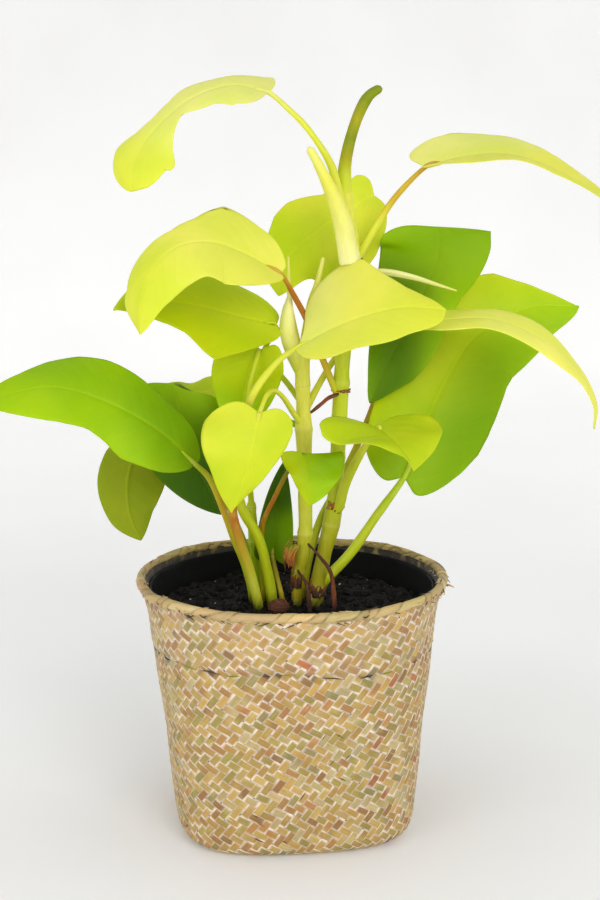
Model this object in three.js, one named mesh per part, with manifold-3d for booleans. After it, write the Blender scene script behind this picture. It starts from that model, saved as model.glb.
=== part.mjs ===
// Potted malay gold philodendron, standing in its black nursery pot inside a woven basket pot.
// Millimetres, +Z up. The origin is the middle of the basket's flat foot, on the surface it stands on,
// and the plant is seen from its front by looking along +Y.
import * as THREE from 'three';
import { mergeVertices } from 'three/addons/utils/BufferGeometryUtils.js';
import Module from 'manifold-3d';

const wasm = await Module();
wasm.setup();

// Driving dimensions
const CLEARANCE = 0.3;            // gap between pieces that touch
const SLIVER = 0.04;              // detail finer than this is left out
const BASKET_TOP = 146.5;         // top edge of the woven wall
const BASKET_WALL = 2.2;
const BASKET_FLOOR = 2.2;
const BASKET_FLOOR_RADIUS = 65;
const BASKET_TURN = THREE.MathUtils.degToRad(6);
const BASKET_ROUND_AT = 150;      // height at which the rounded square has become a circle
const BASKET_SQUARENESS = 1.3;    // exponent added to a circle's two, at the foot
const WEAVE_RELIEF = 0.45;
const WEAVE_COLUMNS = 44;
const RIM_RADIUS = 92;            // to the middle of the rolled edge
const RIM_HEIGHT = 150;
const RIM_ROLL = 3;
const RIM_WRAPS = 30;
const RIM_SWELL = 0.25;           // how much each wrap stands out between its joints
const RIM_SIDES = 6;
const POT_WALL = 1.3;
const POT_FLOOR = 1.6;
const POT_LIP_ROUND = 0.4;        // the lip's inner edge stands this much over its outer one
const POT_INNER_CORNER = 1.5;
const POT_SIDES = 28;
const DRAIN_RADIUS = 5;
const DRAIN_SIDES = 8;
const DRAIN_COUNT = 6;
const DRAIN_RING = 40;
const SOIL_LEVEL = 133;
const SOIL_RADIUS = 81;
const SOIL_SIDES = 26;
const SOIL_HILLS = 1.1;
const ROOTED_DEPTH = 24;          // how far stems and stalks go down into the soil
const BLADE = 0.9;                // thickness of every leaf blade
const BLADE_GRID = [8, 6];        // steps along and across a small blade
const LONG_GRID = [10, 6];        // and a large one
const STEM_SIDES = 8;
const STALK_SIDES = 6;
const STALK_STEPS = 8;
const SPEAR_STEPS = 6;
const STALK_END = 1;              // radius where a stalk runs out under the midrib

// Outer profile of the basket: height, half width of the rounded square
const BASKET_PROFILE = [
  [0, 61], [1.6, 66.5], [5, 70.6], [11, 72.8], [22, 74.1], [34, 75.4], [47, 76.8], [60, 78],
  [73, 79.6], [86, 81.5], [99, 83.2], [111, 84.7], [122, 86], [132, 87.2], [140, 89.2],
  [BASKET_TOP, 91.2],
];

// Inner pot: outside radius against height over its own foot
const POT_FOOT = BASKET_FLOOR + CLEARANCE;
const POT_OUTSIDE = [[0, 0], [60, 0], [63, 3], [82.6, 128], [84.6, 136], [86.6, 143.5], [86.6, 145.6]];

// Colours
const LIME = 0xd6e03c;
const PALE = 0xe6e878;
const YELLOW_GREEN = 0xb9cb1e;
const GREEN = 0x8fc014;
const DARK_GREEN = 0x4d7f08;
const STALK_GREEN = 0xa9bf2a;
const ROOT_BROWN = 0x6b3a1c;
const BARK_RED = 0x6e3524;
const SOIL_BLACK = 0x1d1613;
const POT_BLACK = 0x131313;
const STRAW = 0xc9a878;
const RIM_STRAW = 0xd2b277;
const ROUGHNESS = 0.6;
const POT_ROUGHNESS = 0.3;

function vector(point) {
  return new THREE.Vector3(...point);
}

function meshMaterial(color) {
  const roughness = color === POT_BLACK ? POT_ROUGHNESS : ROUGHNESS;
  return new THREE.MeshStandardMaterial({ color, roughness, metalness: 0 });
}

function indexedGeometry(points, triangles) {
  const geometry = new THREE.BufferGeometry();
  geometry.setAttribute('position', new THREE.Float32BufferAttribute(points.flat(), 3));
  geometry.setIndex(triangles.flat());
  return geometry;
}

// Closed skin over a row of rings: every ring holds the same number of points, and both ends are
// closed with a fan round their middle.
function ringSolid(rings) {
  const sides = rings[0].length;
  const points = rings.flat();
  const triangles = [];
  for (let row = 0; row < rings.length - 1; row += 1) {
    for (let side = 0; side < sides; side += 1) {
      const next = (side + 1) % sides;
      const a = row * sides + side;
      const b = row * sides + next;
      triangles.push([a, b, b + sides], [a, b + sides, a + sides]);
    }
  }
  const middle = (ring) => {
    const sum = ring.reduce((total, point) => total.add(vector(point)), new THREE.Vector3());
    return sum.divideScalar(sides).toArray();
  };
  const first = points.push(middle(rings[0])) - 1;
  const last = points.push(middle(rings[rings.length - 1])) - 1;
  const top = (rings.length - 1) * sides;
  for (let side = 0; side < sides; side += 1) {
    const next = (side + 1) % sides;
    triangles.push([first, next, side], [last, top + side, top + next]);
  }
  return indexedGeometry(points, triangles);
}

function toSolid(geometry) {
  const bare = geometry.clone();
  bare.deleteAttribute('normal');
  bare.deleteAttribute('uv');
  const merged = mergeVertices(bare, 1e-4);
  return new wasm.Manifold(new wasm.Mesh({
    numProp: 3,
    vertProperties: new Float32Array(merged.attributes.position.array),
    triVerts: new Uint32Array(merged.index.array),
  }));
}

// The largest body of a solid, without the loose scraps that a cut can leave
function largestBody(solid) {
  const bodies = solid.decompose();
  return bodies.reduce((best, body) => (body.volume() > best.volume() ? body : best));
}

// Surface of a solid, without the slivers that joins and cuts leave
function toGeometry(solid) {
  const mesh = solid.simplify(SLIVER).getMesh();
  const geometry = new THREE.BufferGeometry();
  geometry.setAttribute('position', new THREE.BufferAttribute(mesh.vertProperties, mesh.numProp));
  geometry.setIndex(new THREE.BufferAttribute(mesh.triVerts, 1));
  return geometry;
}

// Evenly spaced samples of a smooth curve through the given points, with their directions
function sampleCurve(points, steps) {
  const curve = new THREE.CatmullRomCurve3(points.map(vector), false, 'catmullrom', 0.5);
  const samples = [];
  for (let step = 0; step <= steps; step += 1) {
    const t = step / steps;
    samples.push({ t, point: curve.getPointAt(t), along: curve.getTangentAt(t).normalize() });
  }
  return samples;
}

function valueAlong(values, t) {
  const place = t * (values.length - 1);
  const low = Math.min(Math.floor(place), values.length - 2);
  return THREE.MathUtils.lerp(values[low], values[low + 1], place - low);
}

// Round stalk, stem or root through the points, with its radii spread evenly along it; grow makes it
// thicker and longer all round, for the hole it stands in.
function stalk(points, radii, { steps = STALK_STEPS, sides = STALK_SIDES, grow = 0 } = {}) {
  const samples = sampleCurve(points, steps);
  const across = new THREE.Vector3(1, 0, 0);
  const rings = samples.map(({ t, point, along }, index) => {
    across.addScaledVector(along, -across.dot(along)).normalize();
    const beside = new THREE.Vector3().crossVectors(along, across);
    const radius = valueAlong(radii, t) + grow;
    const further = { 0: -grow, [steps]: grow }[index] ?? 0;
    const centre = point.clone().addScaledVector(along, further);
    return Array.from({ length: sides }, (_, side) => {
      const angle = (side / sides) * 2 * Math.PI;
      return centre.clone()
        .addScaledVector(across, radius * Math.cos(angle))
        .addScaledVector(beside, radius * Math.sin(angle))
        .toArray();
    });
  });
  return ringSolid(rings);
}

// Heart-shaped blades. Each leaf is described by:
//   rib: points of the midrib, from base to tip
//   face: where the upper side looks, at the base, the middle and the tip
//   half: half widths left and right of the rib, seen from above with the tip ahead
//   fold, curl: degrees that the left and right half tilt up from the rib, and roll on to the margin
//   start, taper: how broad the two halves are at the base, and how early they narrow to the tip
//   lobe: how far the two halves reach back behind the stalk's joint
const WIDTH_RISE = 0.45;
const TIP_HALF_WIDTH = 0.5;
const LOBE_TURNS = 0.375;         // share of a full wave that the lobe takes from rib to margin
const RIPPLES = 2.2;              // waves along a margin
const RIPPLE_SHIFT = 0.3;         // share of a wave by which the right margin runs ahead
const RIPPLE_HEIGHT = 1.2;
const EVEN_START = [0.12, 0.12];
const EVEN_TAPER = [0.8, 0.8];

// Share of the full half width at t along the rib
function widthProfile(t, start, taper) {
  const shape = (x) => (x + start) ** WIDTH_RISE * Math.max(1 - x, 0) ** taper;
  const widest = (WIDTH_RISE - taper * start) / (WIDTH_RISE + taper);
  return shape(t) / shape(widest);
}

// Point of the blade's middle surface: side runs from -1 at the left margin to 1 at the right one.
function bladePoint(leaf, { t, point, along }, side) {
  const face = vector([0, 1, 2].map((axis) => valueAlong(leaf.face.map((look) => look[axis]), t)));
  const up = face.addScaledVector(along, -face.dot(along)).normalize();
  const right = new THREE.Vector3().crossVectors(along, up);
  const which = side < 0 ? 0 : 1;
  const reach = Math.abs(side);
  const { start = EVEN_START, taper = EVEN_TAPER, ripple = RIPPLE_HEIGHT } = leaf;
  const share = widthProfile(t, start[which], taper[which]);
  const width = Math.max(leaf.half[which] * share, TIP_HALF_WIDTH);
  const fold = THREE.MathUtils.degToRad(valueAlong(leaf.fold[which], t));
  const curl = THREE.MathUtils.degToRad(valueAlong(leaf.curl[which], t));
  const out = (width / curl) * (Math.sin(fold + curl * reach) - Math.sin(fold));
  const lift = (width / curl) * (Math.cos(fold) - Math.cos(fold + curl * reach));
  const back = leaf.lobe[which] * Math.sin(2 * Math.PI * LOBE_TURNS * reach) * (1 - t) ** 3;
  const wave = Math.sin(2 * Math.PI * (RIPPLES * t + RIPPLE_SHIFT * which));
  const waved = ripple * wave * reach ** 2 * Math.min(1, 4 * (1 - t));
  return point.clone()
    .addScaledVector(right, Math.sign(side) * out)
    .addScaledVector(up, lift + waved)
    .addScaledVector(along, -back);
}

// Closed blade: the same grid of triangles above and below, and a strip round the margin
function bladeGeometry(leaf) {
  const [rows, columns] = leaf.grid ?? BLADE_GRID;
  const samples = sampleCurve(leaf.rib, rows);
  const grid = samples.map((sample) => Array.from({ length: columns + 1 }, (_, column) => {
    const side = (2 * column) / columns - 1;
    return bladePoint(leaf, sample, side);
  }));
  const normalAt = (row, column) => {
    const ahead = grid[Math.min(row + 1, rows)][column].clone().sub(grid[Math.max(row - 1, 0)][column]);
    const aside = grid[row][Math.min(column + 1, columns)].clone().sub(grid[row][Math.max(column - 1, 0)]);
    return ahead.cross(aside).negate().normalize();
  };
  const width = columns + 1;
  const points = [];
  for (const sign of [1, -1]) {
    for (let row = 0; row <= rows; row += 1) {
      for (let column = 0; column <= columns; column += 1) {
        const shift = normalAt(row, column).multiplyScalar((sign * BLADE) / 2);
        points.push(grid[row][column].clone().add(shift).toArray());
      }
    }
  }
  const under = (rows + 1) * width;
  const triangles = [];
  for (let row = 0; row < rows; row += 1) {
    for (let column = 0; column < columns; column += 1) {
      const a = row * width + column;
      const [b, c, d] = [a + 1, a + width, a + width + 1];
      const halves = column < columns / 2 ? [[a, b, c], [b, d, c]] : [[a, b, d], [a, d, c]];
      for (const [p, q, r] of halves) {
        triangles.push([p, q, r], [under + p, under + r, under + q]);
      }
    }
  }
  const edge = [];
  for (let column = 0; column < columns; column += 1) edge.push(column);
  for (let row = 0; row < rows; row += 1) edge.push(row * width + columns);
  for (let column = columns; column > 0; column -= 1) edge.push(rows * width + column);
  for (let row = rows; row > 0; row -= 1) edge.push(row * width);
  edge.forEach((p, index) => {
    const q = edge[(index + 1) % edge.length];
    triangles.push([p, under + p, under + q], [p, under + q, q]);
  });
  return indexedGeometry(points, triangles);
}

// Stems, from the soil up
const STEMS = {
  stem_tall: {
    points: [[14, -1, SOIL_LEVEL - ROOTED_DEPTH], [14, -1, 132], [19, 1, 162], [26, 4, 196], [29, 4, 253],
      [31, 4, 290], [35, 4, 321], [36, 4, 346], [31, 4, 387]],
    radii: [4.4, 4.8, 5, 4.6, 5.4, 4.4, 4.5, 4.7, 4.9, 4.6, 4.4, 4.6, 5, 4.6, 3.6],
    steps: 22,
    color: STALK_GREEN,
  },
  stem_left: {
    points: [[3, -1, SOIL_LEVEL - ROOTED_DEPTH], [3, -1, 133], [4, -3, 154], [8, -4, 176], [8, -4, 207],
      [7, -4, 255], [6, -4, 297]],
    radii: [3, 3.1, 3.4, 4.6, 4.1, 4.2, 4.3, 5, 4.3, 4.6, 4.9],
    steps: 18,
    color: YELLOW_GREEN,
  },
  stem_old: {
    points: [[-21, 10, SOIL_LEVEL - ROOTED_DEPTH], [-21, 10, 133], [-24, 9, 180], [-25, 8, 198]],
    radii: [2.6, 2.7, 2.6, 3.3, 2.4],
    steps: 7,
    color: YELLOW_GREEN,
  },
};

// Leaves. A stalk that starts below the soil has no holder; any other grows from the named stem.
const LEAVES = {
  leaf_top_left: {
    color: PALE,
    holder: 'stem_tall',
    stalk: [[29, -1, 378], [23, -3, 400], [10, -5, 420], [-2, -6, 432], [-13, -6, 441]],
    stalkRadii: [2.6, 2, 1.8, 1.6],
    rib: [[-13, -6, 441], [-34, -8, 445], [-58, -10, 437], [-80, -14, 419], [-93, -20, 401],
      [-88, -24, 385]],
    face: [[0, -0.2, 0.95], [-0.2, -0.3, 0.85], [-0.6, -0.8, 0]],
    half: [30, 26],
    fold: [[5, 5], [14, 5]],
    curl: [[-20, -50], [-15, -30]],
    grid: LONG_GRID,
    taper: [0.6, 0.6],
    lobe: [8, 0],
  },
  leaf_top_right: {
    color: PALE,
    holder: 'stem_tall',
    stalk: [[37, 5, 341], [50, 2, 365], [62, -2, 383], [78, -6, 399]],
    stalkRadii: [2.8, 2, 1.8],
    rib: [[78, -6, 399], [102, -9, 405], [127, -12, 406], [155, -16, 396], [177, -20, 383],
      [187, -22, 376]],
    face: [[0, -0.1, 1], [0, -0.1, 1], [0.3, -0.2, 0.9]],
    half: [31, 28],
    fold: [[26, 14], [8, 5]],
    curl: [[-10, -10], [-10, -15]],
    grid: LONG_GRID,
    lobe: [9, 8],
  },
  leaf_back_upper: {
    color: YELLOW_GREEN,
    holder: 'stem_tall',
    stalk: [[36, 8, 352], [43, 22, 356], [50, 31, 370], [46, 31, 377]],
    stalkRadii: [2.4, 1.8, 1.6],
    rib: [[46, 31, 377], [27, 30, 369], [8, 28, 355], [-5, 25, 340], [-8, 22, 322]],
    face: [[-0.1, -0.8, 0.6], [-0.1, -0.9, 0.4], [-0.2, -0.9, 0.2]],
    half: [31, 25],
    fold: [[5, 5], [5, 5]],
    curl: [[-15, -15], [-15, -15]],
    lobe: [3, 3],
  },
  leaf_back_dark: {
    color: DARK_GREEN,
    stalk: [[8, 9, SOIL_LEVEL - ROOTED_DEPTH], [8, 9, 133], [9, 7, 154], [17, 10, 184], [27, 14, 203],
      [43, 21, 236], [62, 30, 285], [80, 30, 335], [88, 20, 360], [88, 10, 364]],
    stalkRadii: [2.6, 2.5, 2.3, 2.1, 2, 1.9],
    stalkSteps: 14,
    rib: [[88, 10, 364], [86, 10, 343], [73, 8, 312], [58, 5, 283], [47, 2, 259]],
    face: [[0.1, -0.8, 0.5], [0, -1, 0.1], [0, -1, 0.1]],
    half: [33, 26],
    fold: [[5, 5], [5, 5]],
    curl: [[-20, -20], [-20, -20]],
    lobe: [-2, -2],
    taper: [0.8, 0.7],
    start: [0.35, 0.45],
  },
  leaf_middle: {
    color: LIME,
    stalk: [[-20, -8, SOIL_LEVEL - ROOTED_DEPTH], [-20, -8, 132], [-25, -13, 158], [-31, -20, 180],
      [-35, -26, 202], [-32, -34, 234], [-23, -40, 268], [-9, -39, 288], [4, -30, 297]],
    stalkRadii: [3.3, 3.2, 3, 2.8, 2.4, 2.2],
    stalkSteps: 16,
    rib: [[4, -30, 297], [23, -38, 308], [42, -44, 316], [63, -48, 321], [87, -50, 320]],
    face: [[-0.1, -0.65, 0.75], [-0.05, -0.65, 0.75], [0, -0.6, 0.8]],
    half: [47, 25],
    fold: [[5, 5], [12, 8]],
    curl: [[-15, -15], [-15, -15]],
    lobe: [-5, 2],
    start: [0.03, 0],
    taper: [1, 0.4],
  },
  leaf_right_long: {
    color: LIME,
    holder: 'stem_left',
    stalk: [[9, -3, 257], [22, 9, 279], [33, 12, 293], [43, 5, 301], [50, -7, 306], [62, -20, 309]],
    stalkRadii: [2.4, 1.9, 1.8],
    rib: [[62, -20, 309], [89, -26, 312], [116, -32, 313], [142, -38, 303], [163, -42, 285],
      [173, -44, 266], [174, -44, 251]],
    face: [[0, -0.03, 1], [0, -0.08, 1], [0.9, -0.3, 0.2]],
    half: [30, 26],
    fold: [[8, 8], [8, 5]],
    curl: [[-10, -10], [-12, -15]],
    grid: LONG_GRID,
    lobe: [16, 16],
  },
  leaf_right_large: {
    color: GREEN,
    holder: 'stem_tall',
    stalk: [[21, 0, 150], [36, -1, 167], [51, -3, 190], [68, -4, 215]],
    stalkRadii: [2.6, 2.6, 2.3],
    rib: [[68, -4, 215], [79, 6, 240], [90, 15, 263], [111, 22, 296], [144, 26, 314], [176, 28, 315]],
    face: [[0.1, -0.95, 0.1], [0.1, -0.95, 0.25], [0, -0.9, 0.5]],
    half: [38, 36],
    fold: [[8, 8], [5, 5]],
    curl: [[-20, -20], [-20, -20]],
    lobe: [7, 6],
    grid: LONG_GRID,
    start: [0.03, 0.08],
    taper: [1, 0.65],
  },
  leaf_left_upper: {
    color: PALE,
    holder: 'stem_tall',
    stalk: [[26, 1, 268], [19, -2, 285], [10, -4, 308], [1, -16, 326], [-6, -34, 339]],
    stalkRadii: [2.4, 2, 1.8],
    rib: [[-6, -34, 339], [-23, -38, 349], [-43, -44, 357], [-61, -52, 356], [-75, -60, 345],
      [-82, -66, 328], [-83, -68, 308]],
    face: [[0.1, -0.5, 0.85], [-0.2, -0.6, 0.8], [-0.6, -0.7, 0.3]],
    half: [33, 36],
    fold: [[18, -14], [14, -14]],
    curl: [[-20, -20], [-6, -20]],
    grid: LONG_GRID,
    lobe: [2, 2],
    taper: [0.8, 1.4],
    start: [0.02, 0.05],
  },
  leaf_left_under: {
    color: YELLOW_GREEN,
    stalk: [[-12, -1, SOIL_LEVEL - ROOTED_DEPTH], [-12, -1, 134], [-16, -5, 162], [-21, -8, 180],
      [-31, -9, 200], [-33, -2, 229], [-28, 5, 262], [-17, 5, 290], [-9, -6, 307]],
    stalkRadii: [3.4, 3.4, 3.2, 2.8, 2.2, 1.8],
    rib: [[-9, -6, 307], [-31, -14, 313], [-55, -23, 320], [-80, -32, 323], [-101, -40, 319]],
    face: [[0, -0.6, 0.8], [-0.1, -0.7, 0.7], [-0.2, -0.7, 0.7]],
    half: [42, 30],
    fold: [[5, 5], [5, 5]],
    curl: [[-15, -15], [-15, -15]],
    lobe: [3, 3],
    start: [0.05, 0.05],
    stalkSteps: 14,
    taper: [1.2, 0.8],
  },
  leaf_left_inner: {
    color: YELLOW_GREEN,
    holder: 'stem_old',
    stalk: [[-25, 7, 199], [-26, -4, 220], [-26, -15, 240], [-25, -21, 268], [-21, -19, 286],
      [-19, -12, 293]],
    stalkRadii: [1.9, 1.7, 1.5],
    stalkSteps: 9,
    rib: [[-19, -12, 293], [-25, -12, 281], [-29, -9, 263], [-34, -6, 241]],
    face: [[0, -0.9, 0.3], [0, -1, 0.1], [0, -1, 0]],
    half: [20, 19],
    fold: [[8, 8], [8, 8]],
    curl: [[-15, -15], [-15, -15]],
    lobe: [8, 8],
  },
  leaf_back_left: {
    color: YELLOW_GREEN,
    holder: 'stem_left',
    stalk: [[4, 1, 262], [-10, 16, 277], [-24, 26, 280], [-37, 27, 270]],
    stalkRadii: [2, 1.7, 1.4],
    rib: [[-37, 27, 270], [-51, 29, 263], [-65, 31, 262], [-80, 33, 266]],
    face: [[0, -0.5, 0.85], [0, -0.5, 0.85], [0, -0.5, 0.85]],
    half: [14, 14],
    fold: [[5, 5], [5, 5]],
    curl: [[-15, -15], [-15, -15]],
    lobe: [4, 4],
  },
  leaf_front_heart: {
    color: LIME,
    holder: 'stem_left',
    stalk: [[4, -7, 250], [0, -12, 257], [-5, -20, 266], [-10, -28, 271], [-14, -39, 270],
      [-18, -50, 261]],
    stalkRadii: [2, 1.7, 1.5],
    rib: [[-18, -50, 261], [-21, -58, 247], [-26, -61, 227], [-34, -58, 205]],
    face: [[-0.1, -0.9, 0.4], [-0.1, -0.98, 0.1], [-0.1, -1, -0.1]],
    half: [25, 31],
    fold: [[8, 8], [8, 8]],
    curl: [[-20, -20], [-20, -20]],
    lobe: [5, 6],
    taper: [1.4, 0.9],
  },
  leaf_left_large: {
    color: GREEN,
    stalk: [[-24, 4, SOIL_LEVEL - ROOTED_DEPTH], [-24, 4, 134], [-28, 2, 156], [-35, -5, 177],
      [-47, -19, 214], [-57, -28, 228]],
    stalkRadii: [2.7, 2.6, 2.4, 2.2],
    stalkSteps: 10,
    rib: [[-57, -28, 228], [-76, -36, 248], [-104, -44, 266], [-134, -50, 276], [-162, -54, 272],
      [-179, -56, 265]],
    face: [[-0.1, -0.75, 0.65], [-0.1, -0.75, 0.65], [-0.1, -0.6, 0.8]],
    half: [26, 24],
    fold: [[5, 5], [5, 5]],
    curl: [[-15, -15], [-15, -15]],
    grid: LONG_GRID,
    lobe: [0, 2],
    start: [0.02, 0.02],
    ripple: 2.5,
    taper: [0.8, 0.4],
  },
  leaf_left_dark: {
    color: DARK_GREEN,
    holder: 'stem_left',
    stalk: [[5, 0, 245], [-18, 14, 260], [-41, 12, 270], [-61, 5, 269], [-72, 2, 262]],
    stalkRadii: [2.2, 1.8, 1.6],
    rib: [[-72, 2, 262], [-67, 4, 244], [-58, 4, 219], [-43, 3, 190]],
    face: [[0, -1, 0.3], [0, -1, 0.1], [0, -1, 0]],
    half: [26, 32],
    fold: [[5, 5], [5, 5]],
    curl: [[-15, -15], [-15, -15]],
    lobe: [10, 10],
    start: [0.2, 0.25],
  },
  leaf_low_left: {
    color: YELLOW_GREEN,
    stalk: [[-14, 17, SOIL_LEVEL - ROOTED_DEPTH], [-14, 17, 134], [-26, 16, 161], [-43, 16, 199],
      [-65, 16, 225], [-85, 15, 234], [-96, 12, 229]],
    stalkRadii: [2.2, 2, 1.8, 1.6],
    stalkSteps: 12,
    rib: [[-96, 12, 229], [-101, 10, 209], [-100, 8, 190], [-93, 6, 173]],
    face: [[0, 1, -0.1], [0, 1, 0.1], [0, 1, 0.1]],
    half: [22, 24],
    fold: [[8, 8], [8, 8]],
    curl: [[15, 15], [15, 15]],
    lobe: [8, 8],
  },
  leaf_front_small: {
    color: GREEN,
    stalk: [[-17, 4, SOIL_LEVEL - ROOTED_DEPTH], [-17, 4, 134], [-18, 1, 160], [-18, -3, 184],
      [-10, -15, 205], [-2, -27, 223], [7, -34, 235]],
    stalkRadii: [1.8, 1.8, 1.7, 1.4],
    stalkSteps: 12,
    rib: [[7, -34, 235], [9, -39, 226], [10, -43, 216], [10, -45, 206]],
    face: [[0.1, -0.8, 0.6], [0.1, -0.9, 0.4], [0, -1, 0.2]],
    half: [21, 13],
    fold: [[5, 5], [5, 5]],
    curl: [[-15, -15], [-15, -15]],
    lobe: [-3, -2],
    start: [0.3, 0.3],
  },
  leaf_front_right: {
    color: LIME,
    holder: 'stem_tall',
    stalk: [[29, -1, 197], [32, -8, 211], [40, -20, 231], [50, -34, 250]],
    stalkRadii: [2.6, 2.2, 1.8],
    rib: [[50, -34, 250], [57, -52, 247], [63, -68, 242], [68, -80, 234]],
    face: [[0, -0.4, 0.9], [0, -0.4, 0.9], [0, -0.4, 0.9]],
    half: [33, 34],
    fold: [[10, 5], [24, 20]],
    curl: [[-15, -15], [-15, -15]],
    lobe: [10, 10],
    taper: [0.9, 2.2],
  },
  leaf_inner_upright: {
    color: DARK_GREEN,
    stalk: [[-5.5, -1, SOIL_LEVEL - ROOTED_DEPTH], [-5.5, -1, 134], [-9, 2, 150], [-12, 7, 163]],
    stalkRadii: [1.8, 1.7, 1.5],
    rib: [[-12, 7, 163], [-10, 8, 180], [-8, 8, 200], [-5, 7, 222]],
    face: [[0, -1, 0], [0, -1, 0], [0, -1, 0]],
    half: [12, 12],
    fold: [[15, 15], [15, 15]],
    curl: [[20, 20], [20, 20]],
    lobe: [4, 4],
    grid: [8, 4],
  },
};

// Rolled leaves, sheaths and roots: round, tapering pieces
const SPEARS = {
  new_leaf_top: {
    color: YELLOW_GREEN,
    points: [[31, 4, 387.4], [32, 2, 403], [37, 0, 423], [44, -2, 438], [52, -4, 444]],
    radii: [4.2, 4.4, 3.6, 3, 1.6],
    holder: 'stem_tall',
  },
  sheath_top: {
    color: PALE,
    points: [[35, -1, 344], [29, -8, 371], [19, -12, 394], [10, -16, 410]],
    radii: [5.6, 5, 4, 2],
    holder: 'stem_tall',
  },
  sheath_right: {
    color: PALE,
    points: [[36, -2, 336], [54, -6, 338], [70, -9, 335.5], [84, -11, 331.5], [97, -12, 327.5]],
    radii: [2.6, 2.2, 1.6, 0.5],
    holder: 'stem_tall',
  },
  sheath_middle: {
    color: PALE,
    points: [[2, -5, 286], [-2, -9, 304], [-2, -9, 315], [-1, -8, 326]],
    radii: [4, 4.2, 3.4, 0.8],
    holder: 'stem_left',
  },
  young_spear_left: {
    color: PALE,
    points: [[4, -3, 296], [-1, 2, 321], [-2, 2, 347]],
    radii: [1.6, 1.3, 0.7],
    holder: 'stem_left',
  },
  young_spear_right: {
    color: PALE,
    points: [[7, -1, 296], [11, 5, 318], [15, 7, 330], [19, 8, 346]],
    radii: [2, 1.9, 1.7, 1.2],
    holder: 'stem_left',
  },
  dead_sheath: {
    color: ROOT_BROWN,
    points: [[3, -8, 176], [-1, -9, 168], [-1, -9, 156]],
    radii: [2.6, 2.4, 1.2],
    holder: 'stem_left',
  },
  aerial_root_upper: {
    color: ROOT_BROWN,
    points: [[28, 0, 265], [22, -4, 263], [18, -6, 260], [11, -5, 254]],
    radii: [1.3, 1, 1.4, 1.2],
    holder: 'stem_tall',
    other: 'stem_left',
  },
  aerial_root_long: {
    color: ROOT_BROWN,
    points: [[9, -7, 175], [17, -11, 167], [24, -12, 156], [26, -12, 134], [26, -12, 124]],
    radii: [1.1, 1, 1, 0.9],
    holder: 'stem_left',
    rooted: true,
  },
  aerial_root_short: {
    color: ROOT_BROWN,
    points: [[3, -5, 158], [5, -10, 156], [9, -13, 150], [11, -14, 134], [11, -14, 126]],
    radii: [1.1, 1, 0.8],
    holder: 'stem_left',
    rooted: true,
  },
};

function stemSolid(name, grow = 0) {
  const { points, radii, steps } = STEMS[name];
  return toSolid(stalk(points, radii, { steps, sides: STEM_SIDES, grow }));
}

function stemPiece(name) {
  return { name, solid: stemSolid(name), color: STEMS[name].color };
}

// The stalk runs on under the first stretch of the midrib, so that blade and stalk are one body.
function leafStalk(leaf, grow = 0) {
  const [, joined] = sampleCurve(leaf.rib, 12);
  const face = vector(leaf.face[0]).normalize();
  const end = joined.point.clone().addScaledVector(face, -BLADE / 2).toArray();
  const radii = [...leaf.stalkRadii, STALK_END];
  return toSolid(stalk([...leaf.stalk, end], radii, { steps: leaf.stalkSteps, grow }));
}

function leafPiece(name) {
  const leaf = LEAVES[name];
  let solid = toSolid(bladeGeometry(leaf)).add(leafStalk(leaf));
  if (leaf.holder) solid = solid.subtract(stemSolid(leaf.holder, CLEARANCE));
  return { name, solid: largestBody(solid), color: leaf.color };
}

function spearSolid(spear, grow = 0) {
  return toSolid(stalk(spear.points, spear.radii, { steps: SPEAR_STEPS, grow }));
}

function spearPiece(name) {
  const spear = SPEARS[name];
  let solid = spearSolid(spear);
  for (const stem of [spear.holder, spear.other]) {
    if (stem) solid = solid.subtract(stemSolid(stem, CLEARANCE));
  }
  return { name, solid: largestBody(solid), color: spear.color };
}

// Half width of the basket's outside in a direction: a rounded square that turns into a circle
function basketReach(radius, height, angle) {
  const square = 2 + BASKET_SQUARENESS * Math.max(1 - height / BASKET_ROUND_AT, 0);
  const turned = angle - BASKET_TURN;
  const sum = Math.abs(Math.cos(turned)) ** square + Math.abs(Math.sin(turned)) ** square;
  return radius / sum ** (1 / square);
}

function basketRing(radius, height, relief) {
  return Array.from({ length: WEAVE_COLUMNS }, (_, column) => {
    const angle = (column / WEAVE_COLUMNS) * 2 * Math.PI;
    const reach = basketReach(radius, height, angle) + relief(column);
    return [reach * Math.cos(angle), reach * Math.sin(angle), height];
  });
}

// Woven wall: two strips up and two down along each ring, stepped by one from ring to ring, which
// raises the diagonal ridges of a twill. The inside is plain and needs only every third ring.
function basketBody() {
  const plain = () => 0;
  const rings = BASKET_PROFILE.map(([height, radius], row) => {
    const woven = row > 1 && row < BASKET_PROFILE.length - 1;
    const twill = (column) => ((column + row) % 4 < 2 ? WEAVE_RELIEF : -WEAVE_RELIEF);
    return basketRing(radius, height, woven ? twill : plain);
  });
  const inner = BASKET_PROFILE.filter(([height], row) => height > BASKET_FLOOR && row % 3 === 1);
  rings.push(basketRing(BASKET_PROFILE.at(-1)[1] - BASKET_WALL, BASKET_TOP, plain));
  for (const [height, radius] of inner.reverse()) {
    rings.push(basketRing(radius - BASKET_WALL - WEAVE_RELIEF, height, plain));
  }
  rings.push(basketRing(BASKET_FLOOR_RADIUS, BASKET_FLOOR, plain));
  return { name: 'basket_body', solid: toSolid(ringSolid(rings)), color: STRAW };
}

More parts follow.
